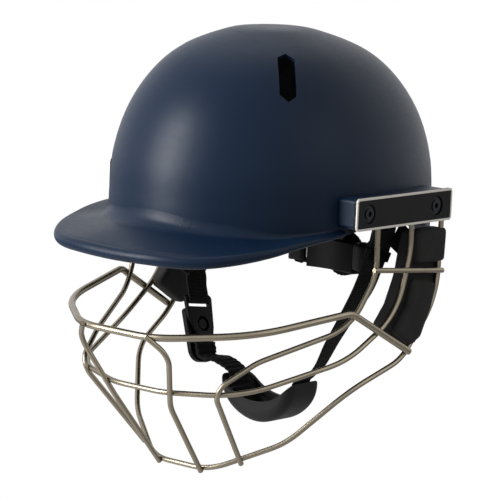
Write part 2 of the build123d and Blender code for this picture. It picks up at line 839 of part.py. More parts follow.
# Foam cheek pad: a slab inside the uprights and two bosses out between and round them
with BuildPart() as cheek_pad:
    add(side_block(cheek_slab_outline, cheek_pad_inner_x, cheek_pad_outer_x, cheek_outline_radius, 0))
    for outline in (upper_boss_outline, lower_boss_outline):
        add(side_block(outline, cheek_pad_outer_x, cheek_boss_x, cheek_outline_radius, -1))
    add(grille_rods(cheek_wire_gap), mode=Mode.SUBTRACT)
write_pair(cheek_pad, "cheek_pad")
# Rivet that each strap tab turns on
with BuildPart() as strap_rivet:
    tab_inner_x = tab_outer_x - tab_thickness
    head_x = tab_inner_x - rivet_running_gap
    add(round_pin(strap_pivot_y, strap_pivot_z, rivet_head_radius, head_x - rivet_head_thickness, head_x))
    add(round_pin(strap_pivot_y, strap_pivot_z, rivet_radius, head_x, rivet_cap_x))
    add(
        round_pin(strap_pivot_y, strap_pivot_z, rivet_shoulder_radius, tab_outer_x + rivet_running_gap,
            rivet_shoulder_end_x)
    )
    add(round_pin(strap_pivot_y, strap_pivot_z, rivet_head_radius, rivet_cap_x, rivet_cap_x
        + rivet_head_thickness))
write_pair(strap_rivet, "strap_rivet")

# Tab that carries the webbing on the rivet
with BuildPart() as anchor_tab:
    with BuildSketch(Plane.YZ.offset(tab_inner_x)):
        with Locations((strap_pivot_y, strap_pivot_z)):
            Circle(tab_head_radius)
        with BuildLine():
            Polyline(
                (strap_pivot_y - tab_head_radius, strap_pivot_z), (strap_pivot_y + tab_head_radius, strap_pivot_z),
                (strap_pivot_y + tab_foot_half_width, tab_foot_z),
                (strap_pivot_y - tab_foot_half_width, tab_foot_z), close=True,
            )
        make_face()
        with Locations((strap_pivot_y, strap_pivot_z)):
            Circle(rivet_radius + rivet_running_gap, mode=Mode.SUBTRACT)
    extrude(amount=tab_thickness)
write_pair(anchor_tab, "anchor_tab")

# Cup: an oval trough, rounded along its lower edges and open over a saddle rim
cup_turn = math.radians(cup_tilt)
cup_plane = Plane(origin=(0, cup_y, cup_z), x_dir=(math.cos(cup_turn), 0, math.sin(cup_turn)), z_dir=(0, -1, 0))


def cup_trough(inset):
    """The cup's outer form, drawn in by an inset."""
    half_length = cup_half_length - inset
    depth = cup_depth - inset
    with BuildPart() as solid:
        with BuildSketch(cup_plane):
            with BuildLine():
                Polyline((-half_length, 0), (-half_length, cup_rim_rise), (half_length, cup_rim_rise),
                    (half_length, 0))
                EllipticalCenterArc((0, 0), half_length, depth, start_angle=180, arc_size=180)
            make_face()
        extrude(amount=cup_half_width - inset, both=True)
        curved = solid.edges().filter_by(GeomType.ELLIPSE)
        fillet(curved, cup_edge_radius - inset)
    return solid.part


with BuildPart() as chin_cup:
    add(cup_trough(0))
    add(cup_trough(cup_wall), mode=Mode.SUBTRACT)
    with BuildSketch(cup_plane):
        with BuildLine():
            ThreePointArc((-cup_half_length, cup_rim_rise), (0, cup_saddle_z), (cup_half_length, cup_rim_rise))
            Polyline(
                (cup_half_length, cup_rim_rise), (cup_half_length, overrun), (-cup_half_length, overrun),
                (-cup_half_length, cup_rim_rise),
            )
        make_face()
    extrude(amount=cup_half_width, both=True, mode=Mode.SUBTRACT)
write(chin_cup, "chin_cup")


def cup_stop(angle, turn):
    """A stop of the webbing along the cup's inner wall, at an angle below its long axis."""
    lift = cup_wall + cup_strap_gap + strap_thickness / 2
    x = (cup_half_length - lift) * math.cos(math.radians(angle))
    y = -(cup_depth - lift) * math.sin(math.radians(angle))
    place = cup_plane.from_local_coords(Vector(x, y, 0))
    return (place.X, place.Y, place.Z, turn)


# Webbing from each tab down to the cup
def tab_stops(side):
    """The webbing's first stops, flat against the tab's inner face."""
    x = tab_inner_x - strap_sewing_gap - strap_thickness / 2
    return [(side * x, strap_pivot_y, z, 0) for z in (strap_top_z, strap_middle_z, strap_foot_z)]


with BuildPart() as strap_left:
    stops = tab_stops(1) + list(left_strap_route)
    entry = cup_plane.from_local_coords(Vector(*cup_strap_entry, 0))
    stops.append((entry.X, entry.Y, entry.Z, 4))
    for angle in (cup_strap_high_angle, cup_strap_mid_angle, cup_strap_low_angle):
        stops.append(cup_stop(angle, 0))
    add(strap(stops, strap_width, strap_thickness))
write(strap_left, "strap_left")

divider_run_dir = Vector(*divider_run).normalized()
divider_across = Vector(math.sin(math.radians(divider_turn)), math.cos(math.radians(divider_turn)), 0)
divider_across = (divider_across - divider_run_dir * divider_across.dot(divider_run_dir)).normalized()

# Buckle frame: X across the webbing, Y up along it, Z out of the face that shows
buckle_run = (Vector(*buckle_top) - Vector(*buckle_foot)).normalized()
buckle_across = (Vector(0, 1, 0) - buckle_run * buckle_run.Y).normalized()
buckle_plane = Plane(origin=buckle_centre, x_dir=buckle_across, z_dir=buckle_across.cross(buckle_run))


def buckle_stop(along, height, turn, thickness):
    """A stop of the webbing on the buckle's frame."""
    place = buckle_plane.from_local_coords(Vector(0, along, height))
    return (place.X, place.Y, place.Z, turn, thickness)

def buckle_block(outline, rear, front):
    """A block on the buckle's frame, from an outline across and along it."""
    with BuildPart() as solid:
        with BuildSketch(buckle_plane.offset(rear)):
            with BuildLine():
                Polyline(*outline, close=True)
            make_face()
        extrude(amount=front - rear)
    return solid.part


def buckle_box(half_width, low, high, rear, front):
    """A plain block on the buckle's frame."""
    outline = ((-half_width, low), (half_width, low), (half_width, high), (-half_width, high))
    return buckle_block(outline, rear, front)


def upright_edges(builder):
    """The straight edges of a buckle piece that run square to its face."""
    return builder.edges().filter_by(Axis(buckle_plane.origin, buckle_plane.z_dir))


# Webbing above the buckle, folded round the plate's top bar
with BuildPart() as strap_right:
    stops = tab_stops(-1) + list(right_strap_route)
    loop_face = plate_front + loop_gap + strap_thickness / 2
    loop_top = loop_bar_high + loop_gap
    stops.append(buckle_stop(loop_top + strap_width, loop_face, -3, strap_thickness))
    stops.append(buckle_stop(loop_top, loop_face, -3, strap_thickness))
    add(strap(stops, strap_width, strap_thickness))
    reach = loop_gap + strap_thickness
    add(buckle_box(strap_width / 2, plate_slot_high - reach, loop_bar_high + reach, plate_back - reach,
        plate_front + reach))
    add(buckle_box(strap_width, plate_slot_high - loop_gap, loop_top, plate_back - loop_gap,
        plate_front + loop_gap), mode=Mode.SUBTRACT)
write(strap_right, "strap_right")

# Front plate of the buckle, with a slot for the webbing and an eight-sided window
with BuildPart() as buckle_plate:
    add(buckle_block(plate_outline, plate_back, plate_front))
    fillet(upright_edges(buckle_plate), plate_round)
    chamfer(buckle_plate.faces().sort_by(Axis(buckle_plane.origin, buckle_plane.z_dir))[-1].edges(), plate_edge_break)
    add(buckle_box(plate_slot_half_width, plate_slot_low, plate_slot_high, plate_back, plate_front),
        mode=Mode.SUBTRACT)
    add(buckle_box(plate_slot_half_width, loop_bar_high, overrun * 2, plate_back, plate_front),
        mode=Mode.SUBTRACT)
    with BuildSketch(buckle_plane.offset(plate_back)):
        with Locations((button_u, button_v)):
            RegularPolygon(octagon_radius, octagon_sides, rotation=180 / octagon_sides)
    extrude(amount=plate_front - plate_back, mode=Mode.SUBTRACT)
write(buckle_plate, "buckle_plate")

# Rear body of the buckle, with a bore for the button
with BuildPart() as buckle_body:
    front = plate_back - body_gap
    add(buckle_box(body_half_width, body_foot, body_top, body_back, front))
    corners = upright_edges(buckle_body).sort_by(Axis(buckle_plane.origin, buckle_plane.y_dir))
    fillet(corners[:2], body_foot_radius)
    fillet(upright_edges(buckle_body).sort_by(Axis(buckle_plane.origin, buckle_plane.y_dir))[-2:], body_top_radius)
    fillet(buckle_body.faces().sort_by(Axis(buckle_plane.origin, buckle_plane.z_dir))[0].edges(), body_edge_break)
    with BuildSketch(buckle_plane.offset(button_bore_floor)):
        with Locations((button_u, button_v)):
            Circle(button_radius + button_gap)
    extrude(amount=front - button_bore_floor, mode=Mode.SUBTRACT)
write(buckle_body, "buckle_body")

# Round button that frees the plate
with BuildPart() as buckle_button:
    with BuildSketch(buckle_plane.offset(button_rear)):
        with Locations((button_u, button_v)):
            Circle(button_radius)
    extrude(amount=button_front - button_rear)
    fillet(buckle_button.edges().sort_by(Axis(buckle_plane.origin, buckle_plane.z_dir))[-1], button_dome)
write(buckle_button, "buckle_button")

# Gathered webbing from the buckle's foot into the cup
with BuildPart() as strap_right_lower:
    stops = [buckle_stop(gather_start, gather_height, -3, gather_thickness)]
    stops.append(buckle_stop(gather_end, gather_height, -3, gather_thickness))
    for x, y, turn, thickness in cup_entry_route:
        place = cup_plane.from_local_coords(Vector(x, y, 0))
        stops.append((place.X, place.Y, place.Z, turn, thickness))
    stops += [cup_stop(180 - cup_strap_mid_angle, 0), cup_stop(180 - cup_strap_low_angle, 0)]
    add(strap(stops, strap_width, strap_thickness))
write(strap_right_lower, "strap_right_lower")

# Webbing that lies along the cup's floor from side to side
with BuildPart() as cup_strap:
    lift = cup_wall + cup_strap_gap
    under = lift + strap_thickness
    with BuildSketch(cup_plane):
        Ellipse(cup_half_length - lift, cup_depth - lift)
        Ellipse(cup_half_length - under, cup_depth - under, mode=Mode.SUBTRACT)
        with Locations((0, cup_band_top)):
            Rectangle(2 * cup_half_length, 2 * cup_depth, align=(Align.CENTER, Align.MAX), mode=Mode.INTERSECT)
    extrude(amount=cup_band_half_width, both=True)
write(cup_strap, "cup_strap")

# Rear branch of each strap, from a hook under the liner to a divider on the main webbing
with BuildPart() as rear_branch:
    add(strap(rear_strap_route, rear_strap_width, rear_strap_thickness))
write_pair(rear_branch, "rear_branch")

with BuildPart() as rear_hook:
    with BuildSketch(Plane.XY.offset(rear_hook_low_z)):
        with Locations((rear_hook_inner_x, rear_hook_y)):
            Rectangle(rear_hook_depth, rear_strap_width, align=(Align.MIN, Align.CENTER))
    extrude(amount=rear_hook_high_z - rear_hook_low_z)
    fillet(rear_hook.edges().filter_by(Axis.Z), rear_hook_round)
    add(crown_half(shell_wall + pod_shell_gap, 1), mode=Mode.INTERSECT)
write_pair(rear_hook, "rear_hook")

# Divider that holds the branch to the main webbing
with BuildPart() as strap_divider:
    with BuildSketch(Plane(origin=divider_place, x_dir=divider_across, z_dir=divider_run_dir)):
        RectangleRounded(
            strap_width + 2 * (divider_wall + divider_gap), strap_thickness + 2 * (divider_wall + divider_gap),
            divider_wall,
        )
        Rectangle(strap_width + 2 * divider_gap, strap_thickness + 2 * divider_gap, mode=Mode.SUBTRACT)
    extrude(amount=divider_length / 2, both=True)
write_pair(strap_divider, "strap_divider")

# Adjuster: an open curved tray for both racks, with a pocket for the pinion
slot_inner = arc_radius - arm_thickness / 2 - arm_running_gap
tray_radius = arc_radius + arm_thickness / 2 + arm_running_gap
pitch_radius = pinion_teeth * tooth_module / 2
gear_radius = pitch_radius + tooth_addendum
rack_root = pitch_radius + tooth_dedendum
rack_back = rack_root + rack_bar_height
slot_half_height = rack_back + arm_running_gap
housing_low_z = cradle_z - slot_half_height - housing_wall
housing_high_z = cradle_z + slot_half_height + housing_wall
with BuildPart() as cradle_housing:
    add(
        arc_sector(
            housing_inner_radius, tray_radius, -housing_half_angle, housing_half_angle, housing_low_z,
            housing_high_z,
        )
    )
    fillet(cradle_housing.edges().filter_by(GeomType.CIRCLE).sort_by(Axis.Y)[:2], housing_edge_radius)
    add(
        arc_sector(
            slot_inner, housing_outer_radius, -2 * housing_half_angle, 2 * housing_half_angle,
            cradle_z - slot_half_height, cradle_z + slot_half_height,
        ),
        mode=Mode.SUBTRACT,
    )
    with BuildSketch(Plane.XZ.offset(-gear_pocket_front_y)):
        with Locations((0, cradle_z)):
            Circle(gear_radius + gear_pocket_gap)
    extrude(amount=gear_pocket_front_y - housing_outer_radius, mode=Mode.SUBTRACT)
write(cradle_housing, "cradle_housing")

with BuildPart() as cradle_cover:
    add(
        arc_sector(
            tray_radius + cover_seat_gap, housing_outer_radius, -housing_half_angle, housing_half_angle,
            housing_low_z, housing_high_z,
        )
    )
    fillet(cradle_cover.faces().sort_by(Axis.Y)[-1].edges(), housing_edge_radius)
    with BuildSketch(Plane.XZ.offset(-housing_inner_radius)):
        with Locations((0, cradle_z)):
            Circle(shaft_radius + shaft_running_gap)
    extrude(amount=-housing_outer_radius, mode=Mode.SUBTRACT)
write(cradle_cover, "cradle_cover")

# Pinion on its shaft
with BuildPart() as pinion:
    gear_y = gear_pocket_front_y + gear_end_gap
    with BuildSketch(Plane.XZ.offset(-gear_y)):
        with Locations((0, cradle_z)):
            Circle(pitch_radius - tooth_dedendum)
        for tooth in range(pinion_teeth):
            with Locations(Location((0, cradle_z), tooth * 360 / pinion_teeth)):
                Polygon(
                    (-tooth_root_half_width, pitch_radius - tooth_dedendum - tooth_sink),
                    (tooth_root_half_width, pitch_radius - tooth_dedendum - tooth_sink),
                    (tooth_tip_half_width, gear_radius), (-tooth_tip_half_width, gear_radius), align=None,
                )
    extrude(amount=-pinion_length)
    dial_y = arc_centre_y + housing_outer_radius + dial_standoff
    with BuildSketch(Plane.XZ.offset(-gear_y)):
        with Locations((0, cradle_z)):
            Circle(shaft_radius)
    extrude(amount=gear_y - dial_y - dial_bore_depth)
write(pinion, "pinion")

# Knurled dial
with BuildPart() as dial:
    with BuildSketch(Plane.XZ.offset(-dial_y)):
        with Locations((0, cradle_z)):
            Circle(dial_radius)
    extrude(amount=-dial_thickness)
    chamfer(dial.edges(), dial_edge_break)
    with BuildSketch(Plane.XZ.offset(-dial_y)):
        with Locations((0, cradle_z)):
            with PolarLocations(dial_radius, dial_flutes):
                Circle(dial_flute_radius)
    extrude(amount=-dial_thickness, mode=Mode.SUBTRACT)
    with BuildSketch(Plane.XZ.offset(-dial_y - dial_thickness)):
        with Locations((0, cradle_z)):
            Circle(dial_dish_radius)
    extrude(amount=dial_dish_depth, mode=Mode.SUBTRACT)
    with BuildSketch(Plane.XZ.offset(-dial_y)):
        with Locations((0, cradle_z)):
            Circle(shaft_radius)
    extrude(amount=-dial_bore_depth, mode=Mode.SUBTRACT)
write(dial, "dial")


def rack_arm(side, rack):
    """An arm for one side, its rack above the pinion when rack is 1 and below it when rack is -1."""
    inner = arc_radius - arm_thickness / 2
    outer = arc_radius + arm_thickness / 2
    back, root = sorted((cradle_z + rack * rack_back, cradle_z + rack * rack_root))
    pitch = math.degrees(math.pi * tooth_module / arc_radius)
    with BuildPart() as arm:
        ends = sorted((side * rack_end_angle, side * (arm_stations[0][0] + rack_overlap_angle)))
        add(arc_sector(inner, outer, *ends, back, root))
        for tooth in range(rack_teeth):
            angle = side * (tooth - rack_teeth + rack_teeth_past_centre + 0.5) * pitch
            with BuildSketch(arc_plane(angle, cradle_z).offset(inner)):
                Polygon(
                    (-tooth_root_half_width, rack * (rack_root + tooth_sink)),
                    (tooth_root_half_width, rack * (rack_root + tooth_sink)),
                    (tooth_tip_half_width, rack * (pitch_radius - tooth_addendum)),
                    (-tooth_tip_half_width, rack * (pitch_radius - tooth_addendum)), align=None,
                )
            extrude(amount=arm_thickness)
    with BuildPart() as blade:
        for angle, low_z, high_z in arm_stations:
            turn = math.radians(side * angle)
            radial = (math.sin(turn), math.cos(turn), 0)
            with BuildSketch(Plane(origin=(0, arc_centre_y, 0), x_dir=radial, z_dir=(radial[1], -radial[0], 0))):
                with Locations((arc_radius, (low_z + high_z) / 2)):
                    Rectangle(arm_thickness, high_z - low_z)
        loft(ruled=True)
    with BuildPart() as whole:
        add(arm.part)
        add(blade.part)
    return whole


write(rack_arm(1, 1), "rack_arm_left")
write(rack_arm(-1, -1), "rack_arm_right")

# Soft pad inside each arm's lobe
with BuildPart() as rear_pad:
    pad_outer = arc_radius - arm_thickness / 2 - rear_pad_gap
    add(
        arc_sector(
            pad_outer - rear_pad_depth, pad_outer, rear_pad_start_angle, rear_pad_end_angle, rear_pad_low_z,
            rear_pad_high_z,
        )
    )
    inner_face = rear_pad.faces().filter_by(GeomType.CYLINDER).sort_by(SortBy.AREA)[0]
    fillet(inner_face.edges(), rear_pad_round)
write_pair(rear_pad, "rear_pad")

# Guide that each arm's end slides in, with a boss out to the liner
with BuildPart() as temple_guide:
    add(
        arc_sector(
            guide_inner_radius, guide_outer_radius, guide_start_angle, guide_end_angle, guide_low_z, guide_high_z
        )
    )
    fillet(temple_guide.edges().filter_by(Axis.Z), housing_edge_radius)
    add(
        arc_sector(
            guide_inner_radius + guide_wall, guide_boss_radius, guide_boss_start_angle, guide_boss_end_angle,
            guide_boss_low_z, guide_high_z,
        )
    )
    add(crown_half(liner_inner_inset + thread_gap, 1), mode=Mode.INTERSECT)
    add(
        arc_sector(
            slot_inner, tray_radius, guide_start_angle - overrun, guide_end_angle - guide_end_wall_angle,
            guide_low_z + guide_wall, guide_high_z - guide_wall,
        ),
        mode=Mode.SUBTRACT,
    )
write_pair(temple_guide, "temple_guide")

# Strip that hangs the adjuster from the back of the liner
with BuildPart() as cradle_hanger:
    stops = [(0, y, z, 90) for y, z in hanger_route]
    add(strap(stops, hanger_width, hanger_thickness))
write(cradle_hanger, "cradle_hanger")
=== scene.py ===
import json
import math
import bpy
import numpy as np
from mathutils import Matrix, Vector


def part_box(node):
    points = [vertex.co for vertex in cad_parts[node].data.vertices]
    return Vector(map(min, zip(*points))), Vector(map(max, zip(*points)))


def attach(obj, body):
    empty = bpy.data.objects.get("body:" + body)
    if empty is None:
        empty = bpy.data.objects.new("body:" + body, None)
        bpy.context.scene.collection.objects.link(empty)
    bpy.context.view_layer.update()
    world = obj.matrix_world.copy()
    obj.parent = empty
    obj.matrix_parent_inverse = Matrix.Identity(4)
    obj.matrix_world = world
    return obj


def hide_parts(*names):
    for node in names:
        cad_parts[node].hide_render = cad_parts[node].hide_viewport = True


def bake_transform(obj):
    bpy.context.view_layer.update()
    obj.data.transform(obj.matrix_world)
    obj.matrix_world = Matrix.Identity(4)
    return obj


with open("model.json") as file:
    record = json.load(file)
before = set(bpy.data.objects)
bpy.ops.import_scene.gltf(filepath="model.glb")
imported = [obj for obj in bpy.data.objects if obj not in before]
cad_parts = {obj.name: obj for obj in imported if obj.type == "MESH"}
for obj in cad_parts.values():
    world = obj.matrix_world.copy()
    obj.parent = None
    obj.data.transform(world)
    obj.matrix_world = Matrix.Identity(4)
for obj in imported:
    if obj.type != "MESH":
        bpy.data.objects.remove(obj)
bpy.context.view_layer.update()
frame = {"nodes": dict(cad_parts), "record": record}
nodes = frame["nodes"]
slots = {part["node"]: part["material_slot"] for part in frame["record"]["subparts"]}
MM = 0.001

# The camera stands where the photograph was taken from: angles in degrees, lengths in metres
IMAGE_PIXELS, FOCAL_PIXELS, SENSOR_WIDTH_MM = 499, 3360, 36
CAMERA_AZIMUTH, CAMERA_ELEVATION, CAMERA_ROLL = 41.16, 9.16, 2.56
CAMERA_DISTANCE = 2.4
CAMERA_TARGET = Vector((0.0, -0.025, -0.030))
CAMERA_SHIFT_PIXELS = 0.5
CAMERA_FAR_CLIP = 50


def camera_axes():
    """Right, up and backward directions of the camera."""
    turn, lift, roll = (math.radians(v) for v in (CAMERA_AZIMUTH, CAMERA_ELEVATION, CAMERA_ROLL))
    back = Vector((math.sin(turn) * math.cos(lift), -math.cos(turn) * math.cos(lift), math.sin(lift)))
    level = Vector((math.cos(turn), math.sin(turn), 0))
    high = back.cross(level)
    right = level * math.cos(roll) + high * math.sin(roll)
    up = high * math.cos(roll) - level * math.sin(roll)
    return right, up, back


RIGHT, UP, BACK = camera_axes()


def link(thing):
    bpy.context.scene.collection.objects.link(thing)


def place_camera():
    data = bpy.data.cameras.new("camera")
    data.lens = FOCAL_PIXELS / IMAGE_PIXELS * SENSOR_WIDTH_MM
    data.sensor_width = SENSOR_WIDTH_MM
    shift = CAMERA_SHIFT_PIXELS / IMAGE_PIXELS
    data.shift_x, data.shift_y = -shift, shift
    data.clip_end = CAMERA_FAR_CLIP
    camera = bpy.data.objects.new("camera", data)
    link(camera)
    turned = Matrix((RIGHT, UP, BACK)).transposed().to_4x4()
    camera.matrix_world = Matrix.Translation(CAMERA_TARGET + BACK * CAMERA_DISTANCE) @ turned
    bpy.context.scene.camera = camera


place_camera()


# ---- Shader building: texture scales count cells a metre, depths and edges are in metres ----
NODE_SETTINGS = ("operation", "data_type", "feature", "wave_type", "bands_direction")
SHEEN_ROUGHNESS = 0.5
BEVEL_SAMPLES = 4
# Sockets of the colour mix node
MIX_FACTOR, MIX_DARK, MIX_LIGHT, MIX_COLOR_OUT = 0, 6, 7, 2


def material(name, color, rough, metallic=0.0, specular=0.5, sheen=0.0):
    """A Principled material; returns it with its node tree and shader."""
    made = bpy.data.materials.new(name)
    made.use_nodes = True
    tree = made.node_tree
    shader = tree.nodes["Principled BSDF"]
    shader.inputs["Base Color"].default_value = (*color, 1)
    shader.inputs["Roughness"].default_value = rough
    shader.inputs["Metallic"].default_value = metallic
    shader.inputs["Specular IOR Level"].default_value = specular
    shader.inputs["Sheen Weight"].default_value = sheen
    shader.inputs["Sheen Roughness"].default_value = SHEEN_ROUGHNESS
    return made, tree, shader


def node(tree, kind, **values):
    """A node with its settings and input values set; inputs are named with spaces as underscores."""
    made = tree.nodes.new(kind)
    for key, value in values.items():
        if key in NODE_SETTINGS:
            setattr(made, key, value)
        else:
            made.inputs[key.replace("_", " ")].default_value = value
    return made


def object_place(tree, stretch=(1, 1, 1)):
    """Object coordinates in metres, stretched."""
    source = tree.nodes.new("ShaderNodeTexCoord")
    mapping = tree.nodes.new("ShaderNodeMapping")
    mapping.inputs["Scale"].default_value = stretch
    tree.links.new(source.outputs["Object"], mapping.inputs["Vector"])
    return mapping.outputs["Vector"]


def noise(tree, place, scale, detail, rough=0.55):
    made = node(tree, "ShaderNodeTexNoise", Scale=scale, Detail=detail, Roughness=rough)
    tree.links.new(place, made.inputs["Vector"])
    return made.outputs["Fac"]


def spread(tree, value, low, high, start=0.3, end=0.7):
    """Maps a texture's values from start..end to low..high."""
    made = tree.nodes.new("ShaderNodeMapRange")
    for key, number in (("From Min", start), ("From Max", end), ("To Min", low), ("To Max", high)):
        made.inputs[key].default_value = number
    tree.links.new(value, made.inputs["Value"])
    return made.outputs["Result"]


def tint(tree, shader, value, dark, light):
    """Drives the base colour between two colours."""
    made = node(tree, "ShaderNodeMix", data_type="RGBA")
    made.inputs[MIX_DARK].default_value = (*dark, 1)
    made.inputs[MIX_LIGHT].default_value = (*light, 1)
    tree.links.new(value, made.inputs[MIX_FACTOR])
    tree.links.new(made.outputs[MIX_COLOR_OUT], shader.inputs["Base Color"])


def blotched(tree, shader, value, color, vary):
    """Lets the base colour wander to both sides of a colour by a share."""
    tint(tree, shader, spread(tree, value, 0, 1), scaled(color, 1 - vary), scaled(color, 1 + vary))


def bump(tree, shader, heights, edge=0.0):
    """Chains bumps of (height, strength, depth) over an optional softened edge."""
    normal = None
    if edge:
        soft = tree.nodes.new("ShaderNodeBevel")
        soft.samples = BEVEL_SAMPLES
        soft.inputs["Radius"].default_value = edge
        normal = soft.outputs["Normal"]
    for height, strength, depth in heights:
        made = node(tree, "ShaderNodeBump", Strength=strength, Distance=depth)
        tree.links.new(height, made.inputs["Height"])
        if normal:
            tree.links.new(normal, made.inputs["Normal"])
        normal = made.outputs["Normal"]
    tree.links.new(normal, shader.inputs["Normal"])


def joined(tree, operation, first, second):
    """Two values joined by a Math node."""
    both = node(tree, "ShaderNodeMath", operation=operation)
    tree.links.new(first, both.inputs[0])
    tree.links.new(second, both.inputs[1])
    return both.outputs[0]


def scaled(color, factor):
    return tuple(channel * factor for channel in color)


def moulded(name, color, rough, specular=0.5, grain=2600, strength=0.12, edge=0.0004, vary=0.12, wear=0.06):
    """Moulded or painted plastic: fine grain, faint blotches and scuffs, and softened edges."""
    made, tree, shader = material(name, color, rough, specular=specular)
    place = object_place(tree)
    blotched(tree, shader, noise(tree, place, scale=28, detail=5), color, vary)
    scuff = noise(tree, object_place(tree, stretch=(1, 1, 3)), scale=160, detail=6, rough=0.7)
    tree.links.new(spread(tree, scuff, rough - wear, rough + wear), shader.inputs["Roughness"])
    fine = noise(tree, place, scale=grain, detail=2)
    flow = noise(tree, place, scale=90, detail=3)
    fine_depth, flow_strength, flow_depth = 0.00012, 0.05, 0.0003
    bump(tree, shader, [(fine, strength, fine_depth), (flow, flow_strength, flow_depth)], edge)
    return made


def metal(name, color, rough, grain=1800, strength=0.1, vary=0.12, edge=0.0):
    """Satin metal with a fine grain and patches of tarnish."""
    made, tree, shader = material(name, color, rough, metallic=1.0)
    place = object_place(tree)
    blotched(tree, shader, noise(tree, place, scale=55, detail=5, rough=0.6), color, vary)
    line = noise(tree, place, scale=grain, detail=3)
    smoothest, roughest, line_depth = rough - 0.03, rough + 0.05, 0.00008
    tree.links.new(spread(tree, line, smoothest, roughest), shader.inputs["Roughness"])
    bump(tree, shader, [(line, strength, line_depth)], edge)
    return made


def woven(name, color, across, along, sheen):
    """Webbing: yarns at pitches across and along, on the piece's own map in millimetres."""
    made, tree, shader = material(name, color, rough=0.78, specular=0.05, sheen=sheen)
    shader.inputs["Sheen Tint"].default_value = (0.35, 0.34, 0.32, 1)
    uv = tree.nodes.new("ShaderNodeUVMap")
    uv.uv_map = "weave"
    yarns = []
    for axis, pitch in (("X", across), ("Y", along)):
        # A band texture of scale pi / 10 repeats once a unit, and each pitch holds two bands
        wave = node(tree, "ShaderNodeTexWave", wave_type="BANDS", bands_direction=axis,
                    Scale=math.pi / 10 / pitch * 2, Distortion=0.6, Detail=1.0, Detail_Scale=4)
        tree.links.new(uv.outputs["UV"], wave.inputs["Vector"])
        yarns.append(wave.outputs["Fac"])
    crossed = joined(tree, "MULTIPLY", *yarns)
    # Painted shade darkens the yarn valleys and a painted highlight lightens the yarn crowns
    painted_valley_shade, painted_crown_highlight = scaled(color, 0.62), scaled(color, 1.45)
    tint(tree, shader, crossed, painted_valley_shade, painted_crown_highlight)
    fuzz = noise(tree, object_place(tree), scale=2600, detail=2)
    yarn_strength, yarn_depth, fuzz_strength, fuzz_depth = 0.7, 0.00018, 0.25, 0.0001
    bump(tree, shader, [(crossed, yarn_strength, yarn_depth), (fuzz, fuzz_strength, fuzz_depth)])
    return made


def padded_cloth(name, color, sheen):
    """Knitted cloth over foam: a fine cell pattern, lint and soft patches."""
    made, tree, shader = material(name, color, rough=0.8, specular=0.1, sheen=sheen)
    shader.inputs["Sheen Tint"].default_value = (0.4, 0.39, 0.37, 1)
    place = object_place(tree)
    cells = node(tree, "ShaderNodeTexVoronoi", feature="F1", Scale=1500, Randomness=0.55)
    tree.links.new(place, cells.inputs["Vector"])
    blotched(tree, shader, noise(tree, place, scale=60, detail=4), color, vary=0.18)
    lint = noise(tree, place, scale=700, detail=5, rough=0.7)
    cell, cell_strength, cell_depth = cells.outputs["Distance"], 0.55, 0.00022
    lint_strength, lint_depth = 0.2, 0.0002
    bump(tree, shader, [(cell, cell_strength, cell_depth), (lint, lint_strength, lint_depth)])
    return made


def beaded_foam(name, color):
    """Expanded foam: small beads pressed together."""
    made, tree, shader = material(name, color, rough=0.72, specular=0.03)
    cells = node(tree, "ShaderNodeTexVoronoi", feature="DISTANCE_TO_EDGE", Scale=330, Randomness=0.9)
    tree.links.new(object_place(tree), cells.inputs["Vector"])
    # Painted shade darkens the seams between the beads, in the grooves of their bump
    painted_seam_shade = spread(tree, cells.outputs["Distance"], 0, 1, start=0.0, end=0.12)
    tint(tree, shader, painted_seam_shade, scaled(color, 0.55), color)
    bead = spread(tree, cells.outputs["Distance"], 0, 1, start=0.0, end=0.2)
    bead_strength, bead_depth, edge = 0.35, 0.0003, 0.0006
    bump(tree, shader, [(bead, bead_strength, bead_depth)], edge)
    return made


looks = {
    "shell_navy": moulded("shell_navy", (0.0022, 0.0106, 0.0290), 0.405, specular=0.16, grain=3600,
                          strength=0.05, edge=0.0006, vary=0.05, wear=0.03),
    "plate_black": moulded("plate_black", (0.0088, 0.0086, 0.0088), 0.46, specular=0.12, grain=2200,
                           strength=0.18),
    "border_white": moulded("border_white", (0.74, 0.71, 0.64), 0.42, grain=1500, strength=0.06, vary=0.05),
    "screw_black": metal("screw_black", (0.032, 0.034, 0.040), 0.34, grain=1500, edge=0.0002),
    "nut_steel": metal("nut_steel", (0.50, 0.50, 0.49), 0.36, edge=0.0002),
    "guard_wire": metal("guard_wire", (0.262, 0.228, 0.172), 0.30, grain=240, strength=0.0, vary=0.07),
    "liner_foam": beaded_foam("liner_foam", (0.006, 0.0062, 0.0068)),
    "soft_foam": padded_cloth("soft_foam", (0.0240, 0.0234, 0.0232), sheen=0.05),
    "webbing": woven("webbing", (0.0150, 0.0145, 0.0142), across=1.1, along=0.75, sheen=0.03),
    "buckle_plastic": moulded("buckle_plastic", (0.0028, 0.0027, 0.0028), 0.36, specular=0.09, grain=2400,
                              strength=0.2, edge=0.0005),
    "cup_plastic": moulded("cup_plastic", (0.0130, 0.0128, 0.0128), 0.52, specular=0.14, grain=1300,
                           strength=0.2, edge=0.0006),
    "dial_rubber": moulded("dial_rubber", (0.0030, 0.0029, 0.0030), 0.62, specular=0.04, grain=1800,
                           strength=0.2, edge=0.0003),
    "adjuster_plastic": moulded("adjuster_plastic", (0.0045, 0.0044, 0.0045), 0.40, specular=0.08, grain=2400,
                                strength=0.12),
}

for name, item in nodes.items():
    item.data.materials.clear()
    item.data.materials.append(looks[slots[name]])


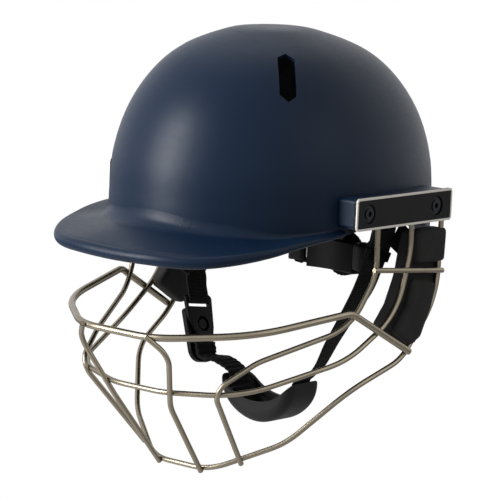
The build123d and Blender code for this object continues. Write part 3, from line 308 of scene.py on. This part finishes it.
# ---- Mesh building, in millimetres ----
def new_piece(name, points, faces, slot, body, stands_for, maps=None):
    """A mesh piece with its look; it hides the CAD node that it stands for and hangs on its body, if one is
    given.
    """
    mesh = bpy.data.meshes.new(name)
    mesh.from_pydata([tuple(MM * v for v in point) for point in points], [], faces)
    mesh.update()
    if maps is not None:
        layer = mesh.uv_layers.new(name="weave")
        for loop in mesh.loops:
            layer.data[loop.index].uv = maps[loop.vertex_index]
    mesh.polygons.foreach_set("use_smooth", [True] * len(mesh.polygons))
    mesh.materials.append(looks[slot])
    piece = bpy.data.objects.new(name, mesh)
    link(piece)
    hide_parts(stands_for)
    if body:
        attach(piece, body)
    return piece


def read_points(mesh):
    """A mesh's points in millimetres, one row each."""
    points = np.empty(len(mesh.vertices) * 3)
    mesh.vertices.foreach_get("co", points)
    return points.reshape(-1, 3) / MM


def write_points(mesh, points):
    mesh.vertices.foreach_set("co", (points * MM).ravel())


def mirrored(points):
    return [(-x, y, z) for x, y, z in points]


def flipped(faces):
    return [tuple(reversed(face)) for face in faces]


def unit(vector):
    return vector / np.linalg.norm(vector)


# ---- CAD solids that are a few millimetres off the photograph: copies with their points moved ----
SLOPE_STEP = 0.02


def reshaped(source, body, move=None, grow=0.0):
    """A copy of a CAD node with its points grown outward and moved; its normals turn with the move."""
    mesh = nodes[source].data.copy()
    points = read_points(mesh)
    normals = np.empty(len(mesh.loops) * 3)
    mesh.corner_normals.foreach_get("vector", normals)
    normals = normals.reshape(-1, 3)
    if grow:
        out = np.empty(len(mesh.vertices) * 3)
        mesh.vertex_normals.foreach_get("vector", out)
        points = points + out.reshape(-1, 3) * grow
    if move:
        slopes = [(move(points + axis * SLOPE_STEP) - move(points - axis * SLOPE_STEP)) / (2 * SLOPE_STEP)
                  for axis in np.eye(3)]
        corners = np.empty(len(mesh.loops), int)
        mesh.loops.foreach_get("vertex_index", corners)
        normals = np.einsum("nji,nj->ni", np.linalg.inv(np.stack(slopes, 2))[corners], normals)
        normals /= np.linalg.norm(normals, axis=1, keepdims=True)
        points = move(points)
    write_points(mesh, points)
    mesh.normals_split_custom_set(normals)
    mesh.name = f"{source}_shaped"
    piece = bpy.data.objects.new(f"{source}_shaped", mesh)
    link(piece)
    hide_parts(source)
    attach(piece, body)


def share_of(value, low, high):
    """How far a value is from low to high, eased at both ends."""
    t = np.clip((value - low) / (high - low), 0, 1)
    return t * t * (3 - 2 * t)


def hermite(t):
    """Weights of start, start slope, end and end slope for a smooth run between two stops."""
    return 2 * t**3 - 3 * t**2 + 1, t**3 - 2 * t**2 + t, 3 * t**2 - 2 * t**3, t**3 - t**2


def eased(value, knots, rows):
    """Rows of a table read at in-between values, smoothly."""
    slopes = np.gradient(rows, knots, axis=0)
    value = np.clip(value, knots[0], knots[-1])
    i = np.clip(np.searchsorted(knots, value, side="right") - 1, 0, len(knots) - 2)
    h = (knots[i + 1] - knots[i])[:, None]
    start, leave, end, arrive = hermite((value[:, None] - knots[i][:, None]) / h)
    return start * rows[i] + leave * h * slopes[i] + end * rows[i + 1] + arrive * h * slopes[i + 1]


# The dome's plan, as in the CAD model: two half ellipses that meet where it is widest
HALF_WIDTH, FRONT_REACH, REAR_REACH, WIDEST_Y = 105.5, 114.5, 139.0, -14.0
# The peak: its plan's centre, reach and power, and its half width in the CAD model and in the photograph
PEAK_Y, PEAK_REACH, PEAK_POWER = -27.0, 144.0, 2.86
CAD_PEAK_HALF_WIDTH, PHOTO_PEAK_HALF_WIDTH = 104.2, 105.0
PEAK_EDGE_Z = -1.8
CAD_TIP_DROP, CAD_BEAD, CAD_CREASE_RISE, CAD_BLEND = 24.4, 7.0, 17.7, 6.0
PHOTO_TIP_DROP, PHOTO_BEAD, PHOTO_CREASE_RISE, PHOTO_BLEND = 22.0, 9.2, 13.1, 9.0
# Angle from straight ahead, then the shares of the crease rise, of the bead and of the root blend
CAD_SHARES = (
    (0, 1.0, 1.0, 1.0), (14, 0.89, 1.0, 0.95), (28, 0.63, 0.97, 0.85), (40, 0.32, 0.89, 0.7),
    (50, 0.06, 0.77, 0.5), (58, -0.02, 0.66, 0.35), (66, -0.03, 0.57, 0.25), (73, -0.03, 0.51, 0.2),
    (80, -0.02, 0.49, 0.15),
)
# The same angles, then the shares of the tip drop, of the crease rise, of the bead and of the root blend
PHOTO_SHARES = (
    (0, 1.0, 1.0, 1.0, 1.0), (14, 0.975, 0.853, 1.0, 0.95), (28, 0.948, 0.715, 0.97, 0.85),
    (40, 0.762, 0.42, 0.85, 0.7), (50, 0.559, 0.148, 0.66, 0.5), (58, 0.378, 0.027, 0.52, 0.33),
    (66, 0.259, 0.028, 0.44, 0.2), (73, 0.186, 0.056, 0.39, 0.14), (80, 0.108, 0.06, 0.37, 0.1),
)
# How far above the peak its lift reaches into the dome, how far inside the root it starts, the share of the
# bead at which the rounded edge starts, and the strip about the peak's centre where the move fades in
LIFT_REACH, ROOT_SINK, HEEL_SHARE, PEAK_FADE = 18, 1.9, 0.95, (-4, 4)
STEEPEST = 0.02
FOOT_OVERRUN = 0.5


def peak_edge(turn, half_width):
    """Distance of the peak's edge from its centre."""
    across, ahead = np.abs(np.sin(turn)) / half_width, np.maximum(np.cos(turn), STEEPEST) / PEAK_REACH
    return (across**PEAK_POWER + ahead**PEAK_POWER) ** (-1 / PEAK_POWER)


def peak_tables():
    """Edge height, bead, crease rise and blend at each angle, in the CAD model and then in the photograph."""
    angles = np.array([row[0] for row in CAD_SHARES], float)
    turn = np.radians(angles)
    tip = (peak_edge(turn, CAD_PEAK_HALF_WIDTH) * np.cos(turn) / PEAK_REACH) ** (PEAK_POWER / 2)
    cad = np.array([
        (PEAK_EDGE_Z - CAD_TIP_DROP * drop, CAD_BEAD * bead, CAD_CREASE_RISE * crease, CAD_BLEND * blend)
        for (_, crease, bead, blend), drop in zip(CAD_SHARES, tip)])
    photo = np.array([
        (PEAK_EDGE_Z - PHOTO_TIP_DROP * drop, PHOTO_BEAD * bead,
         PHOTO_CREASE_RISE * crease, PHOTO_BLEND * blend)
        for _, drop, crease, bead, blend in PHOTO_SHARES])
    rows = np.hstack([cad, photo])
    return np.concatenate([-angles[:0:-1], angles]), np.concatenate([rows[:0:-1], rows])


PEAK_ANGLES, PEAK_ROWS = peak_tables()


def dome_root(turn):
    """Distance from the peak's centre to the dome's plan."""
    sin, cos, offset = np.sin(turn), np.cos(turn), PEAK_Y - WIDEST_Y
    a = (sin / HALF_WIDTH) ** 2 + (cos / FRONT_REACH) ** 2
    b, c = -2 * offset * cos / FRONT_REACH**2, (offset / FRONT_REACH) ** 2 - 1
    return (-b + np.sqrt(b * b - 4 * a * c)) / (2 * a)


def peak_move(points):
    """Moves the peak's sections from the CAD's to the photograph's."""
    x, y, z = points.T
    ahead = PEAK_Y - y
    turn, reach = np.arctan2(x, ahead), np.hypot(x, ahead)
    low0, bead0, rise0, blend0, low1, bead1, rise1, blend1 = eased(np.degrees(turn), PEAK_ANGLES, PEAK_ROWS).T
    root = dome_root(turn)
    edge0, edge1 = peak_edge(turn, CAD_PEAK_HALF_WIDTH), peak_edge(turn, PHOTO_PEAK_HALF_WIDTH)
    shoulder0, shoulder1 = edge0 - bead0 / 2, edge1 - bead1 / 2
    foot0, foot1 = (root + np.minimum(blend, (shoulder - root) / 2)
                    for blend, shoulder in ((blend0, shoulder0), (blend1, shoulder1)))
    # Along the section: the blend, the sheet and the rounded edge each keep their own share
    moved = np.where(reach < foot0, root + (reach - root) * (foot1 - root) / (foot0 - root),
                     foot1 + (reach - foot0) * (shoulder1 - foot1) / (shoulder0 - foot0))
    moved = np.where(reach > shoulder0, shoulder1 + (reach - shoulder0) * bead1 / bead0, moved)
    moved = np.where(reach < root, reach, moved)

    def sheet(place, low, bead, rise, shoulder):
        return low + bead + rise * (1 - np.clip((place - root) / (shoulder - root), 0, 1))

    above = z - sheet(reach, low0, bead0, rise0, shoulder0)
    fade = 1 - share_of(above, blend0, blend0 + LIFT_REACH)
    lift = np.where(above > 0, np.minimum(above, blend0) * (blend1 / blend0 - 1) * fade, 0)
    lift = lift * (reach < foot0 + FOOT_OVERRUN)
    height = sheet(moved, low1, bead1, rise1, shoulder1) + above + lift
    rounded = low1 + (z - low0) * bead1 / bead0
    height = height + (rounded - height) * share_of(reach, edge0 - bead0 * HEEL_SHARE, shoulder0)
    # Only the peak and the foot of the dome's outer face move
    held = (reach > root - ROOT_SINK) * share_of(ahead, *PEAK_FADE) * (above < blend0 + LIFT_REACH)
    stretch = moved / reach
    new = np.stack([x * stretch, PEAK_Y - ahead * stretch, height], 1)
    return points + (new - points) * held[:, None]


# The rear vents turn back by this angle, between azimuths from straight ahead and above a height
VENT_TURN, VENT_FIRST, VENT_RUN_IN, VENT_LAST, VENT_RUN_OUT = 12, 108, 30, 180, 42
VENT_FADE_Z, BULGE_FADE_Z = (14, 30), (12, 40)
BULGE_SIDE, BULGE_FRONT, BULGE_REAR, BULGE_UP, BULGE_FOOT_Z = 0.0076, 0.0087, 0.0173, 0.0039, 1.6


def dome_move(points):
    """Fits the dome's outline, and turns its rear vents and the liner's behind them."""
    x, y, z = points.T
    back = y - WIDEST_Y
    azimuth = np.degrees(np.arctan2(np.abs(x), -back))
    ramp = np.minimum((azimuth - VENT_FIRST) / VENT_RUN_IN, (VENT_LAST - azimuth) / VENT_RUN_OUT)
    swing = VENT_TURN * np.clip(ramp, 0, 1) * share_of(z, *VENT_FADE_Z)
    turn = np.radians(azimuth)
    far_reach = np.where(azimuth > 90, REAR_REACH, FRONT_REACH)

    def plan(angle):
        return 1 / np.sqrt((np.sin(angle) / HALF_WIDTH) ** 2 + (np.cos(angle) / far_reach) ** 2)

    new_turn = turn + np.radians(swing)
    reach = np.hypot(x, back) * plan(new_turn) / plan(turn)
    aside, back = np.sign(x) * reach * np.sin(new_turn), -reach * np.cos(new_turn)
    high = share_of(z, *BULGE_FADE_Z)
    aside = aside * (1 + BULGE_SIDE * high)
    back = back * np.where(back > 0, 1 + BULGE_REAR, 1 + BULGE_FRONT * high)
    return np.stack([aside, WIDEST_Y + back, z + np.maximum(z - BULGE_FOOT_Z, 0) * BULGE_UP], 1)


reshaped("shell", "helmet", lambda points: dome_move(peak_move(points)))
reshaped("liner", "helmet", dome_move)

# The guard: thicker wires, with the main bar's ends and the side links set further forward
MAIN_BAR_GROW, WIRE_GROW = 0.35, 0.2
BEND_Y, BEND_TO_END, BEND_OVERRUN = -41.5, 65.5, 1.1
MAIN_BAR_END_IN, MAIN_BAR_END_AHEAD, MAIN_BAR_END_UP = 0.8, 7.4, 4.1
SIDE_LINK_SHIFT = np.array([-0.3, -2.3, 0.0])


def main_bar_move(points):
    """Draws the main bar's legs forward, inward and up, the more the nearer to their ends."""
    back = np.clip((points[:, 1] - BEND_Y) / BEND_TO_END, 0, BEND_OVERRUN)[:, None]
    side = np.sign(points[:, :1])
    ahead, up = np.full_like(side, -MAIN_BAR_END_AHEAD), np.full_like(side, MAIN_BAR_END_UP)
    return points + back * np.hstack([-MAIN_BAR_END_IN * side, ahead, up])


reshaped("main_bar", "helmet", main_bar_move, MAIN_BAR_GROW)
for wire in ("middle_bar", "lower_bar", "cheek_bar_left", "cheek_bar_right",
             "nose_bar_left", "nose_bar_right"):
    reshaped(wire, "helmet", grow=WIRE_GROW)
reshaped("side_link_left", "helmet", lambda points: points + SIDE_LINK_SHIFT, WIRE_GROW)
reshaped("side_link_right", "helmet", lambda points: points + SIDE_LINK_SHIFT * (-1, 1, 1), WIRE_GROW)

PLATE_OVERHANG = 0.9


def plate_move(points):
    """Draws a side plate out past its pod all round."""
    low, high = (np.array(corner[1:]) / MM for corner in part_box("badge_left"))
    middle, half = (low + high) / 2, (high - low) / 2
    return np.hstack([points[:, :1], middle + (points[:, 1:] - middle) * (half + PLATE_OVERHANG) / half])


for plate in ("badge_left", "badge_right", "badge_border_left", "badge_border_right"):
    reshaped(plate, "helmet", plate_move)

# The cup: shorter, shallower and narrower than its solid, with a lower rim. In its own frame its long axis
# runs along and its open side is up. The rim's height is given at its middle and at its ends
CAD_CUP_ORIGIN, CAD_CUP_TILT = np.array([0.0, -3.0, -124.3]), 5.5
CAD_CUP_HALF_LENGTH, CAD_CUP_DEPTH, CAD_CUP_HALF_WIDTH, CAD_CUP_RIM = 49, 35, 21, (-16.7, 3.5)
CUP_ORIGIN, CUP_TILT = np.array([0.0, 2.8, -126.7]), 2.5
CUP_HALF_LENGTH, CUP_DEPTH, CUP_HALF_WIDTH, CUP_RIM = 34, 30.7, 18, (-15.2, 1.0)
CUP_WALL = 3.0


def tilted_axes(tilt):
    """The cup's long axis and its upward axis at a tilt in degrees."""
    sin, cos = math.sin(math.radians(tilt)), math.cos(math.radians(tilt))
    return np.array([cos, 0.0, sin]), np.array([-sin, 0.0, cos])


CUP_ALONG, CUP_UP = tilted_axes(CUP_TILT)


def cup_move(points):
    """From the CAD cup's own frame and sizes to the photograph's."""
    cad_along, cad_up = tilted_axes(CAD_CUP_TILT)
    away = points - CAD_CUP_ORIGIN
    along = away @ cad_along * CUP_HALF_LENGTH / CAD_CUP_HALF_LENGTH
    up = away @ cad_up * CUP_DEPTH / CAD_CUP_DEPTH
    back = away[:, 1] * CUP_HALF_WIDTH / CAD_CUP_HALF_WIDTH
    rim0, rim1 = (middle + (end - middle) * (along / CUP_HALF_LENGTH) ** 2
                  for middle, end in (CAD_CUP_RIM, CUP_RIM))
    up = up + (rim1 - rim0) * np.clip((up + CUP_DEPTH) / (rim0 + CUP_DEPTH), 0, 1)
    return CUP_ORIGIN + np.outer(along, CUP_ALONG) + np.outer(up, CUP_UP) + np.outer(back, (0.0, 1.0, 0.0))


reshaped("chin_cup", "chin_strap", cup_move)


# ---- Webbing ----
def smooth_path(stops):
    """Stops of (x, y, z, ...) on a smooth curve, resampled at even steps with all their columns."""
    stops = np.array(stops, float)
    gaps = np.linalg.norm(np.diff(stops[:, :3], axis=0), axis=1)
    knots = np.concatenate([[0], np.cumsum(gaps)])
    slopes = np.gradient(stops, knots, axis=0)
    count = max(2, int(knots[-1] / PATH_STEP))
    out = []
    for s in np.linspace(0, knots[-1], count + 1):
        i = min(int(np.searchsorted(knots, s, side="right")) - 1, len(knots) - 2)
        h = knots[i + 1] - knots[i]
        start, leave, end, arrive = hermite((s - knots[i]) / h)
        out.append(start * stops[i] + leave * h * slopes[i] + end * stops[i + 1] + arrive * h * slopes[i + 1])
    return np.array(out)


def stop(place, across=0.0, share=1.0):
    """A stop of webbing: its place, its width's direction or turn from Y, and its share of the thickness."""
    if not isinstance(across, tuple):
        turn = math.radians(across)
        across = (math.sin(turn), math.cos(turn), 0.0)
    return (*place, *across, share)


PATH_STEP = 0.32
RIB_PITCH = 1.9
EDGE_DROOP = 0.3
EDGE_INSET = 0.995
# The ribs drift out of step: by how much, over what length, across the width, and with what slow beat
RIB_DRIFT, DRIFT_ALONG, DRIFT_ACROSS, DRIFT_BEAT = 0.35, 0.9, 1.7, 0.31


def webbing(name, stands_for, body, stops, width, thickness, rib, rise, side_points=9, pucker=0.0,
            mirror=False):
    """Ribbed webbing along stops, with its own flat map. Pucker waves its edges in and out."""
    path = smooth_path(stops)
    runs = np.gradient(path[:, :3], axis=0)
    points, maps = [], []
    length = 0.0
    count = 2 * side_points
    for index, row in enumerate(path):
        if index:
            length += np.linalg.norm(path[index, :3] - path[index - 1, :3])
        run = unit(runs[index])
        across = unit(row[3:6] - run * row[3:6].dot(run))
        out = np.cross(across, run)
        half = thickness / 2 * row[6]
        phase = 2 * math.pi * length / rib
        narrow = 1 - pucker * (0.5 - 0.5 * math.cos(phase))
        for face in (1, -1):
            for k in range(side_points):
                u = (2 * k / (side_points - 1) - 1) * face
                inner = 1 - abs(u) ** 8
                sway = math.sin(length * DRIFT_ALONG + u * DRIFT_ACROSS)
                drift = RIB_DRIFT * sway * math.sin(length * DRIFT_BEAT)
                wave = rise / 2 * (math.cos(phase + drift + (math.pi if face < 0 else 0)) - 1) * inner
                reach = half * (1 - EDGE_DROOP * abs(u) ** 6) + wave
                aside = width / 2 * narrow * u * (1 if abs(u) < 1 else EDGE_INSET)
                points.append(tuple(row[:3] + across * aside + out * face * reach))
                maps.append((width / 2 * u, length))
    rows = len(path)
    faces = []
    for i in range(rows - 1):
        for k in range(count):
            a, b = i * count + k, i * count + (k + 1) % count
            faces.append((a, b, b + count, a + count))
    faces.append(tuple(reversed(range(count))))
    faces.append(tuple((rows - 1) * count + k for k in range(count)))
    if mirror:
        points, faces = mirrored(points), flipped(faces)
    return new_piece(name, points, faces, "webbing", body, stands_for, maps)


# Sizes that the webbing follows, as in the CAD model
STRAP_WIDTH, STRAP_THICKNESS = 20.0, 1.5
TAB_OUTER_X, TAB_THICKNESS, SEWING_GAP = 97.4, 1.8, 0.25
TAB_X = TAB_OUTER_X - TAB_THICKNESS - SEWING_GAP - STRAP_THICKNESS / 2
STRAP_PIVOT_Y = 12.0
TAB_HEIGHTS = (5.5, 1.5, -2.5)
CUP_STRAP_GAP, LOOP_GAP = 0.3, 0.15
BUCKLE_CENTRE = np.array([-67.3, 1.2, -97.8])
BUCKLE_TOP, BUCKLE_FOOT = np.array([-76.5, 2.0, -76.0]), np.array([-58.5, -4.2, -119.0])
BUCKLE_UP = unit(BUCKLE_TOP - BUCKLE_FOOT)
BUCKLE_ACROSS = unit(np.array([0.0, 1.0, 0.0]) - BUCKLE_UP * BUCKLE_UP[1])
BUCKLE_OUT = np.cross(BUCKLE_ACROSS, BUCKLE_UP)
PLATE_FRONT, PLATE_BACK = 1.0, -2.0
LOOP_BAR_LOW, LOOP_BAR_HIGH = 18.0, 21.8


def cup_point(along, up):
    return CUP_ORIGIN + CUP_ALONG * along + CUP_UP * up


def cup_wall_stop(angle):
    """A stop along the cup's inner wall, at an angle below its long axis."""
    lift = CUP_WALL + CUP_STRAP_GAP + STRAP_THICKNESS / 2
    swing = math.radians(angle)
    return stop(cup_point((CUP_HALF_LENGTH - lift) * math.cos(swing), -(CUP_DEPTH - lift) * math.sin(swing)))


def buckle_stop(up, out, share=1.0):
    """A stop square to the buckle, at a height along it and a distance out of its middle plane."""
    return stop(BUCKLE_CENTRE + BUCKLE_UP * up + BUCKLE_OUT * out, tuple(BUCKLE_ACROSS), share)


def tab_stops(side):
    """The webbing's first stops, flat against the tab's inner face."""
    return [stop((side * TAB_X, STRAP_PIVOT_Y, z)) for z in TAB_HEIGHTS]


# Down the near side and into the cup; each stop of a route is x, y, z and the width's turn from Y
left_stops = tab_stops(1) + [stop(place, turn) for *place, turn in (
    (92.0, 10.4, -15.3, 4), (87.0, 6.8, -33.6, 8), (82.9, 4.2, -47.5, 9), (70.6, 2.5, -70.0, -1),
    (58.6, 2.2, -89.7, -8), (43.5, 2.5, -114.0, -14))]
left_stops += [stop(cup_point(34.3, 4.0), -7), stop(cup_point(30.2, 0.6), -3)]
left_stops += [cup_wall_stop(6), cup_wall_stop(18)]
webbing("webbing_left", "strap_left", "chin_strap", left_stops, STRAP_WIDTH, STRAP_THICKNESS, rib=RIB_PITCH,
        rise=0.34)

# The far webbing comes down on the buckle's face and folds back up round its top bar
face_out = PLATE_FRONT + LOOP_GAP + STRAP_THICKNESS / 2
rear_out = PLATE_BACK - LOOP_GAP - STRAP_THICKNESS / 2
right_stops = tab_stops(-1) + [stop(place, turn) for *place, turn in (
    (-92.0, 10.4, -15.3, -4), (-87.0, 6.8, -33.6, -8), (-84.0, 4.0, -56.0, -4))]
right_stops += [buckle_stop(up, out) for up, out in (
    (LOOP_BAR_HIGH + 20, face_out), (LOOP_BAR_HIGH + 8, face_out), (LOOP_BAR_HIGH, face_out),
    (LOOP_BAR_LOW + 1.2, face_out), (LOOP_BAR_LOW - 0.1, face_out - 0.35), (LOOP_BAR_LOW - 0.8, 0.4),
    (LOOP_BAR_LOW - 0.8, -1.4), (LOOP_BAR_LOW - 0.1, rear_out + 0.35), (LOOP_BAR_LOW + 1.2, rear_out),
    (LOOP_BAR_HIGH, rear_out), (LOOP_BAR_HIGH + 1.6, rear_out + 0.3))]
webbing("webbing_right", "strap_right", "chin_strap", right_stops, STRAP_WIDTH, STRAP_THICKNESS, rib=2.7,
        rise=0.42)

# Gathered webbing from the buckle's foot over the cup's far rim; the last number is a share of the thickness
lower_stops = [buckle_stop(-13.0, 0.8, 2.3), buckle_stop(-18.0, 0.8, 2.5), buckle_stop(-22.0, 1.0, 2.4)]
lower_stops += [stop(cup_point(along, up), share=share) for along, up, share in (
    (-45.0, 8.2, 1.9), (-38.0, 5.8, 1.4), (-34.0, 3.9, 1.0), (-30.3, 0.9, 1.0))]
lower_stops += [cup_wall_stop(174), cup_wall_stop(162)]
webbing("webbing_gathered", "strap_right_lower", "chin_strap", lower_stops, STRAP_WIDTH, STRAP_THICKNESS,
        rib=4.4, rise=0.9, side_points=13, pucker=0.06)

# Webbing along the cup's floor
floor_width = 16.0
floor_stops = [cup_wall_stop(angle) for angle in range(22, 160, 8)]
webbing("webbing_cup", "cup_strap", "chin_strap", floor_stops, floor_width, STRAP_THICKNESS, rib=RIB_PITCH,
        rise=0.14)

# Rear branches between the shell and the strap, on no body, with their place baked into their points
branch_width, branch_thickness = 12.0, 1.2
branch_route = ((94.2, 34.5, -5.9, 6), (95.2, 29.0, -10.5, 6), (95.4, 24.0, -15.2, 6), (94.3, 20.4, -20.3, 6))
branch_stops = [stop(place, turn) for *place, turn in branch_route]
for side, sign in (("left", 1), ("right", -1)):
    piece = webbing(f"webbing_branch_{side}", f"rear_branch_{side}", None, branch_stops, branch_width,
                    branch_thickness, rib=RIB_PITCH, rise=0.12, mirror=sign < 0)
    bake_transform(piece)


# ---- Padded pieces: each CAD form remeshed, its edges relaxed and its faces crowned and creased ----
RELAX_WEIGHT = 0.5
WAVES_PER_SIZE = 5
FARTHEST_MOVE = 3.5
SMALLEST = 1e-6
# The cheek pad's lower cushion: where it starts, its move forward at the top and how much of that fades
# downward between two depths, and the share kept at its front edge
LOWER_TOP_Z, CUSHION_X = -35, 112.5
CUSHION_AHEAD, CUSHION_FADE, CUSHION_FADE_DEPTHS = 5.2, 3.2, (58, 88)
CUSHION_FRONT_SHARE, CUSHION_FRONT_Y = 0.55, (15, 40)


def relaxed(points, links, rounds):
    """Points drawn towards the mean of their neighbours."""
    first, second = links[:, 0], links[:, 1]
    ends = np.concatenate([first, second])
    others = np.concatenate([second, first])
    degree = np.bincount(ends, minlength=len(points))[:, None]
    for _ in range(rounds):
        total = np.zeros_like(points)
        np.add.at(total, ends, points[others])
        points = points + RELAX_WEIGHT * (total / degree - points)
    return points


def ripple(points, sizes, seed):
    """A smooth field of faint creases over points, from a few plane waves of each size and height."""
    draw = np.random.default_rng(seed)
    field = np.zeros(len(points))
    for size, height in sizes:
        for _ in range(WAVES_PER_SIZE):
            along = unit(draw.normal(size=3))
            phase = draw.uniform(0, 2 * math.pi)
            field += height / WAVES_PER_SIZE * np.sin(points @ along * (2 * math.pi / size) + phase)
    return field


def vertex_normals(points, faces):
    normals = np.zeros_like(points)
    quads = np.array([face if len(face) == 4 else (*face, face[-1]) for face in faces])
    cross = np.cross(points[quads[:, 2]] - points[quads[:, 0]], points[quads[:, 3]] - points[quads[:, 1]])
    for k in range(4):
        np.add.at(normals, quads[:, k], cross)
    return normals / np.maximum(np.linalg.norm(normals, axis=1, keepdims=True), SMALLEST)


def cheek_pad_move(points):
    """Sets the pad's lower cushion further forward on its base."""
    cushion = (points[:, 2] < LOWER_TOP_Z) & (points[:, 0] > CUSHION_X)
    ahead = CUSHION_AHEAD - CUSHION_FADE * share_of(-points[:, 2], *CUSHION_FADE_DEPTHS)
    kept = CUSHION_FRONT_SHARE + (1 - CUSHION_FRONT_SHARE) * share_of(points[:, 1], *CUSHION_FRONT_Y)
    nothing = np.zeros(len(points))
    return points - np.stack([nothing, ahead * kept * cushion, nothing], 1)


def remeshed(name, source, voxel):
    """Points, edges and faces of a CAD node remeshed at a voxel size."""
    mesh = nodes[source].data.copy()
    mesh.transform(nodes[source].matrix_world)
    work = bpy.data.objects.new(name, mesh)
    link(work)
    bpy.context.view_layer.objects.active = work
    bpy.ops.object.select_all(action="DESELECT")
    work.select_set(True)
    if source.startswith("cheek_pad"):
        write_points(mesh, cheek_pad_move(read_points(mesh)))
    mesh.remesh_voxel_size = voxel * MM
    bpy.ops.object.voxel_remesh()
    mesh = work.data
    links = np.empty(len(mesh.edges) * 2, int)
    mesh.edges.foreach_get("vertices", links)
    points, faces = read_points(mesh), [tuple(face.vertices) for face in mesh.polygons]
    bpy.data.objects.remove(work)
    return points, links.reshape(-1, 2), faces


def pad_form(name, source, voxel, rounds, swell, sizes, seed):
    """Points and faces of a pad in the space of its CAD solid."""
    bpy.context.view_layer.update()
    start, links, faces = remeshed(name, source, voxel)
    points = relaxed(start, links, rounds)
    points = points + vertex_normals(points, faces) * (swell + ripple(points, sizes, seed))[:, None]
    moved = points - start
    reach = np.linalg.norm(moved, axis=1, keepdims=True)
    return start + moved * np.minimum(1, FARTHEST_MOVE / np.maximum(reach, SMALLEST)), faces


def add_pad(name, source, body, points, faces):
    piece = new_piece(name, [tuple(p) for p in points], faces, "soft_foam", body, source)


cheek_form = dict(voxel=1.1, rounds=9, swell=0.12, sizes=((26, 0.22), (9, 0.10)))
side_form = dict(voxel=1.3, rounds=8, swell=0.1, sizes=((18, 0.25), (8, 0.12)))
rear_form = dict(voxel=0.9, rounds=5, swell=0.05, sizes=((10, 0.12), (5, 0.06)))
brow_form = dict(voxel=1.4, rounds=8, swell=0.1, sizes=((20, 0.25), (9, 0.12)))
for pad, body_left, body_right, fill, form in (
    ("cheek_pad", "helmet", "helmet", 0.7, cheek_form),
    ("side_pad", "helmet", "helmet", 0.5, side_form),
    ("rear_pad", "left_arm", "right_arm", 0.5, rear_form),
):
    points, faces = pad_form(f"{pad}_soft_left", f"{pad}_left", seed=3, **form)
    add_pad(f"{pad}_soft_left", f"{pad}_left", body_left, points, faces)
    add_pad(f"{pad}_soft_right", f"{pad}_right", body_right, points * (-1, 1, 1), flipped(faces))
points, faces = pad_form("brow_pad_soft", "brow_pad", seed=5, **brow_form)
add_pad("brow_pad_soft", "brow_pad", "helmet", points, faces)


# ---- Floor, surround and lamps ----
FLOOR_Z, FLOOR_SIZE = -0.75, 14
AMBIENT, WHITE = 0.3, 1.0
# Name, direction as seen by the camera (right, up, back), distance, width, height and watts
LAMPS = (
    ("key", (-0.90, 0.27, 0.35), 1.7, 0.55, 1.2, 46.0),
    ("fill", (0.75, 0.35, 0.60), 2.2, 1.4, 1.2, 4.0),
    ("top", (-0.10, 1.0, -0.15), 1.8, 1.3, 1.3, 3.0),
)


def add_floor():
    """A pale floor far below, white to the camera."""
    bpy.ops.mesh.primitive_plane_add(size=FLOOR_SIZE, location=(0, 0, FLOOR_Z))
    floor = bpy.context.object
    floor.name = "floor"
    made, tree, shader = material("floor_pale", (0.82, 0.82, 0.82), rough=0.9, specular=0.1)
    patch = noise(tree, object_place(tree), scale=3, detail=3)
    tint(tree, shader, patch, (0.80, 0.80, 0.80), (0.84, 0.84, 0.84))
    path = tree.nodes.new("ShaderNodeLightPath")
    glow = node(tree, "ShaderNodeEmission", Strength=WHITE)
    mixed = tree.nodes.new("ShaderNodeMixShader")
    tree.links.new(path.outputs["Is Camera Ray"], mixed.inputs[0])
    tree.links.new(shader.outputs[0], mixed.inputs[1])
    tree.links.new(glow.outputs[0], mixed.inputs[2])
    tree.links.new(mixed.outputs[0], tree.nodes["Material Output"].inputs["Surface"])
    floor.data.materials.append(made)


def add_surround():
    """A surround that is white to the camera, to glass and to reflections, and dim as a light."""
    world = bpy.data.worlds.new("studio")
    bpy.context.scene.world = world
    world.use_nodes = True
    tree = world.node_tree
    tree.nodes.clear()
    path = tree.nodes.new("ShaderNodeLightPath")
    seen = joined(tree, "MAXIMUM", path.outputs["Is Camera Ray"], path.outputs["Is Transmission Ray"])
    seen = joined(tree, "MAXIMUM", seen, path.outputs["Is Glossy Ray"])
    ambient = node(tree, "ShaderNodeBackground", Color=(1, 1, 1, 1), Strength=AMBIENT)
    white = node(tree, "ShaderNodeBackground", Color=(1, 1, 1, 1), Strength=WHITE)
    mixed = tree.nodes.new("ShaderNodeMixShader")
    output = tree.nodes.new("ShaderNodeOutputWorld")
    tree.links.new(seen, mixed.inputs[0])
    tree.links.new(ambient.outputs[0], mixed.inputs[1])
    tree.links.new(white.outputs[0], mixed.inputs[2])
    tree.links.new(mixed.outputs[0], output.inputs["Surface"])


def add_lamps():
    """Soft rectangular lamps that face the object."""
    for name, (across, high, toward), distance, width, height, power in LAMPS:
        data = bpy.data.lights.new(name, "AREA")
        data.shape = "RECTANGLE"
        data.size, data.size_y = width, height
        data.energy = power
        lamp = bpy.data.objects.new(name, data)
        link(lamp)
        out = (RIGHT * across + UP * high + BACK * toward).normalized()
        lamp.location = out * distance
        lamp.rotation_euler = out.to_track_quat("Z", "Y").to_euler()


add_floor()
add_surround()
add_lamps()
bpy.context.scene.view_settings.view_transform = "Standard"
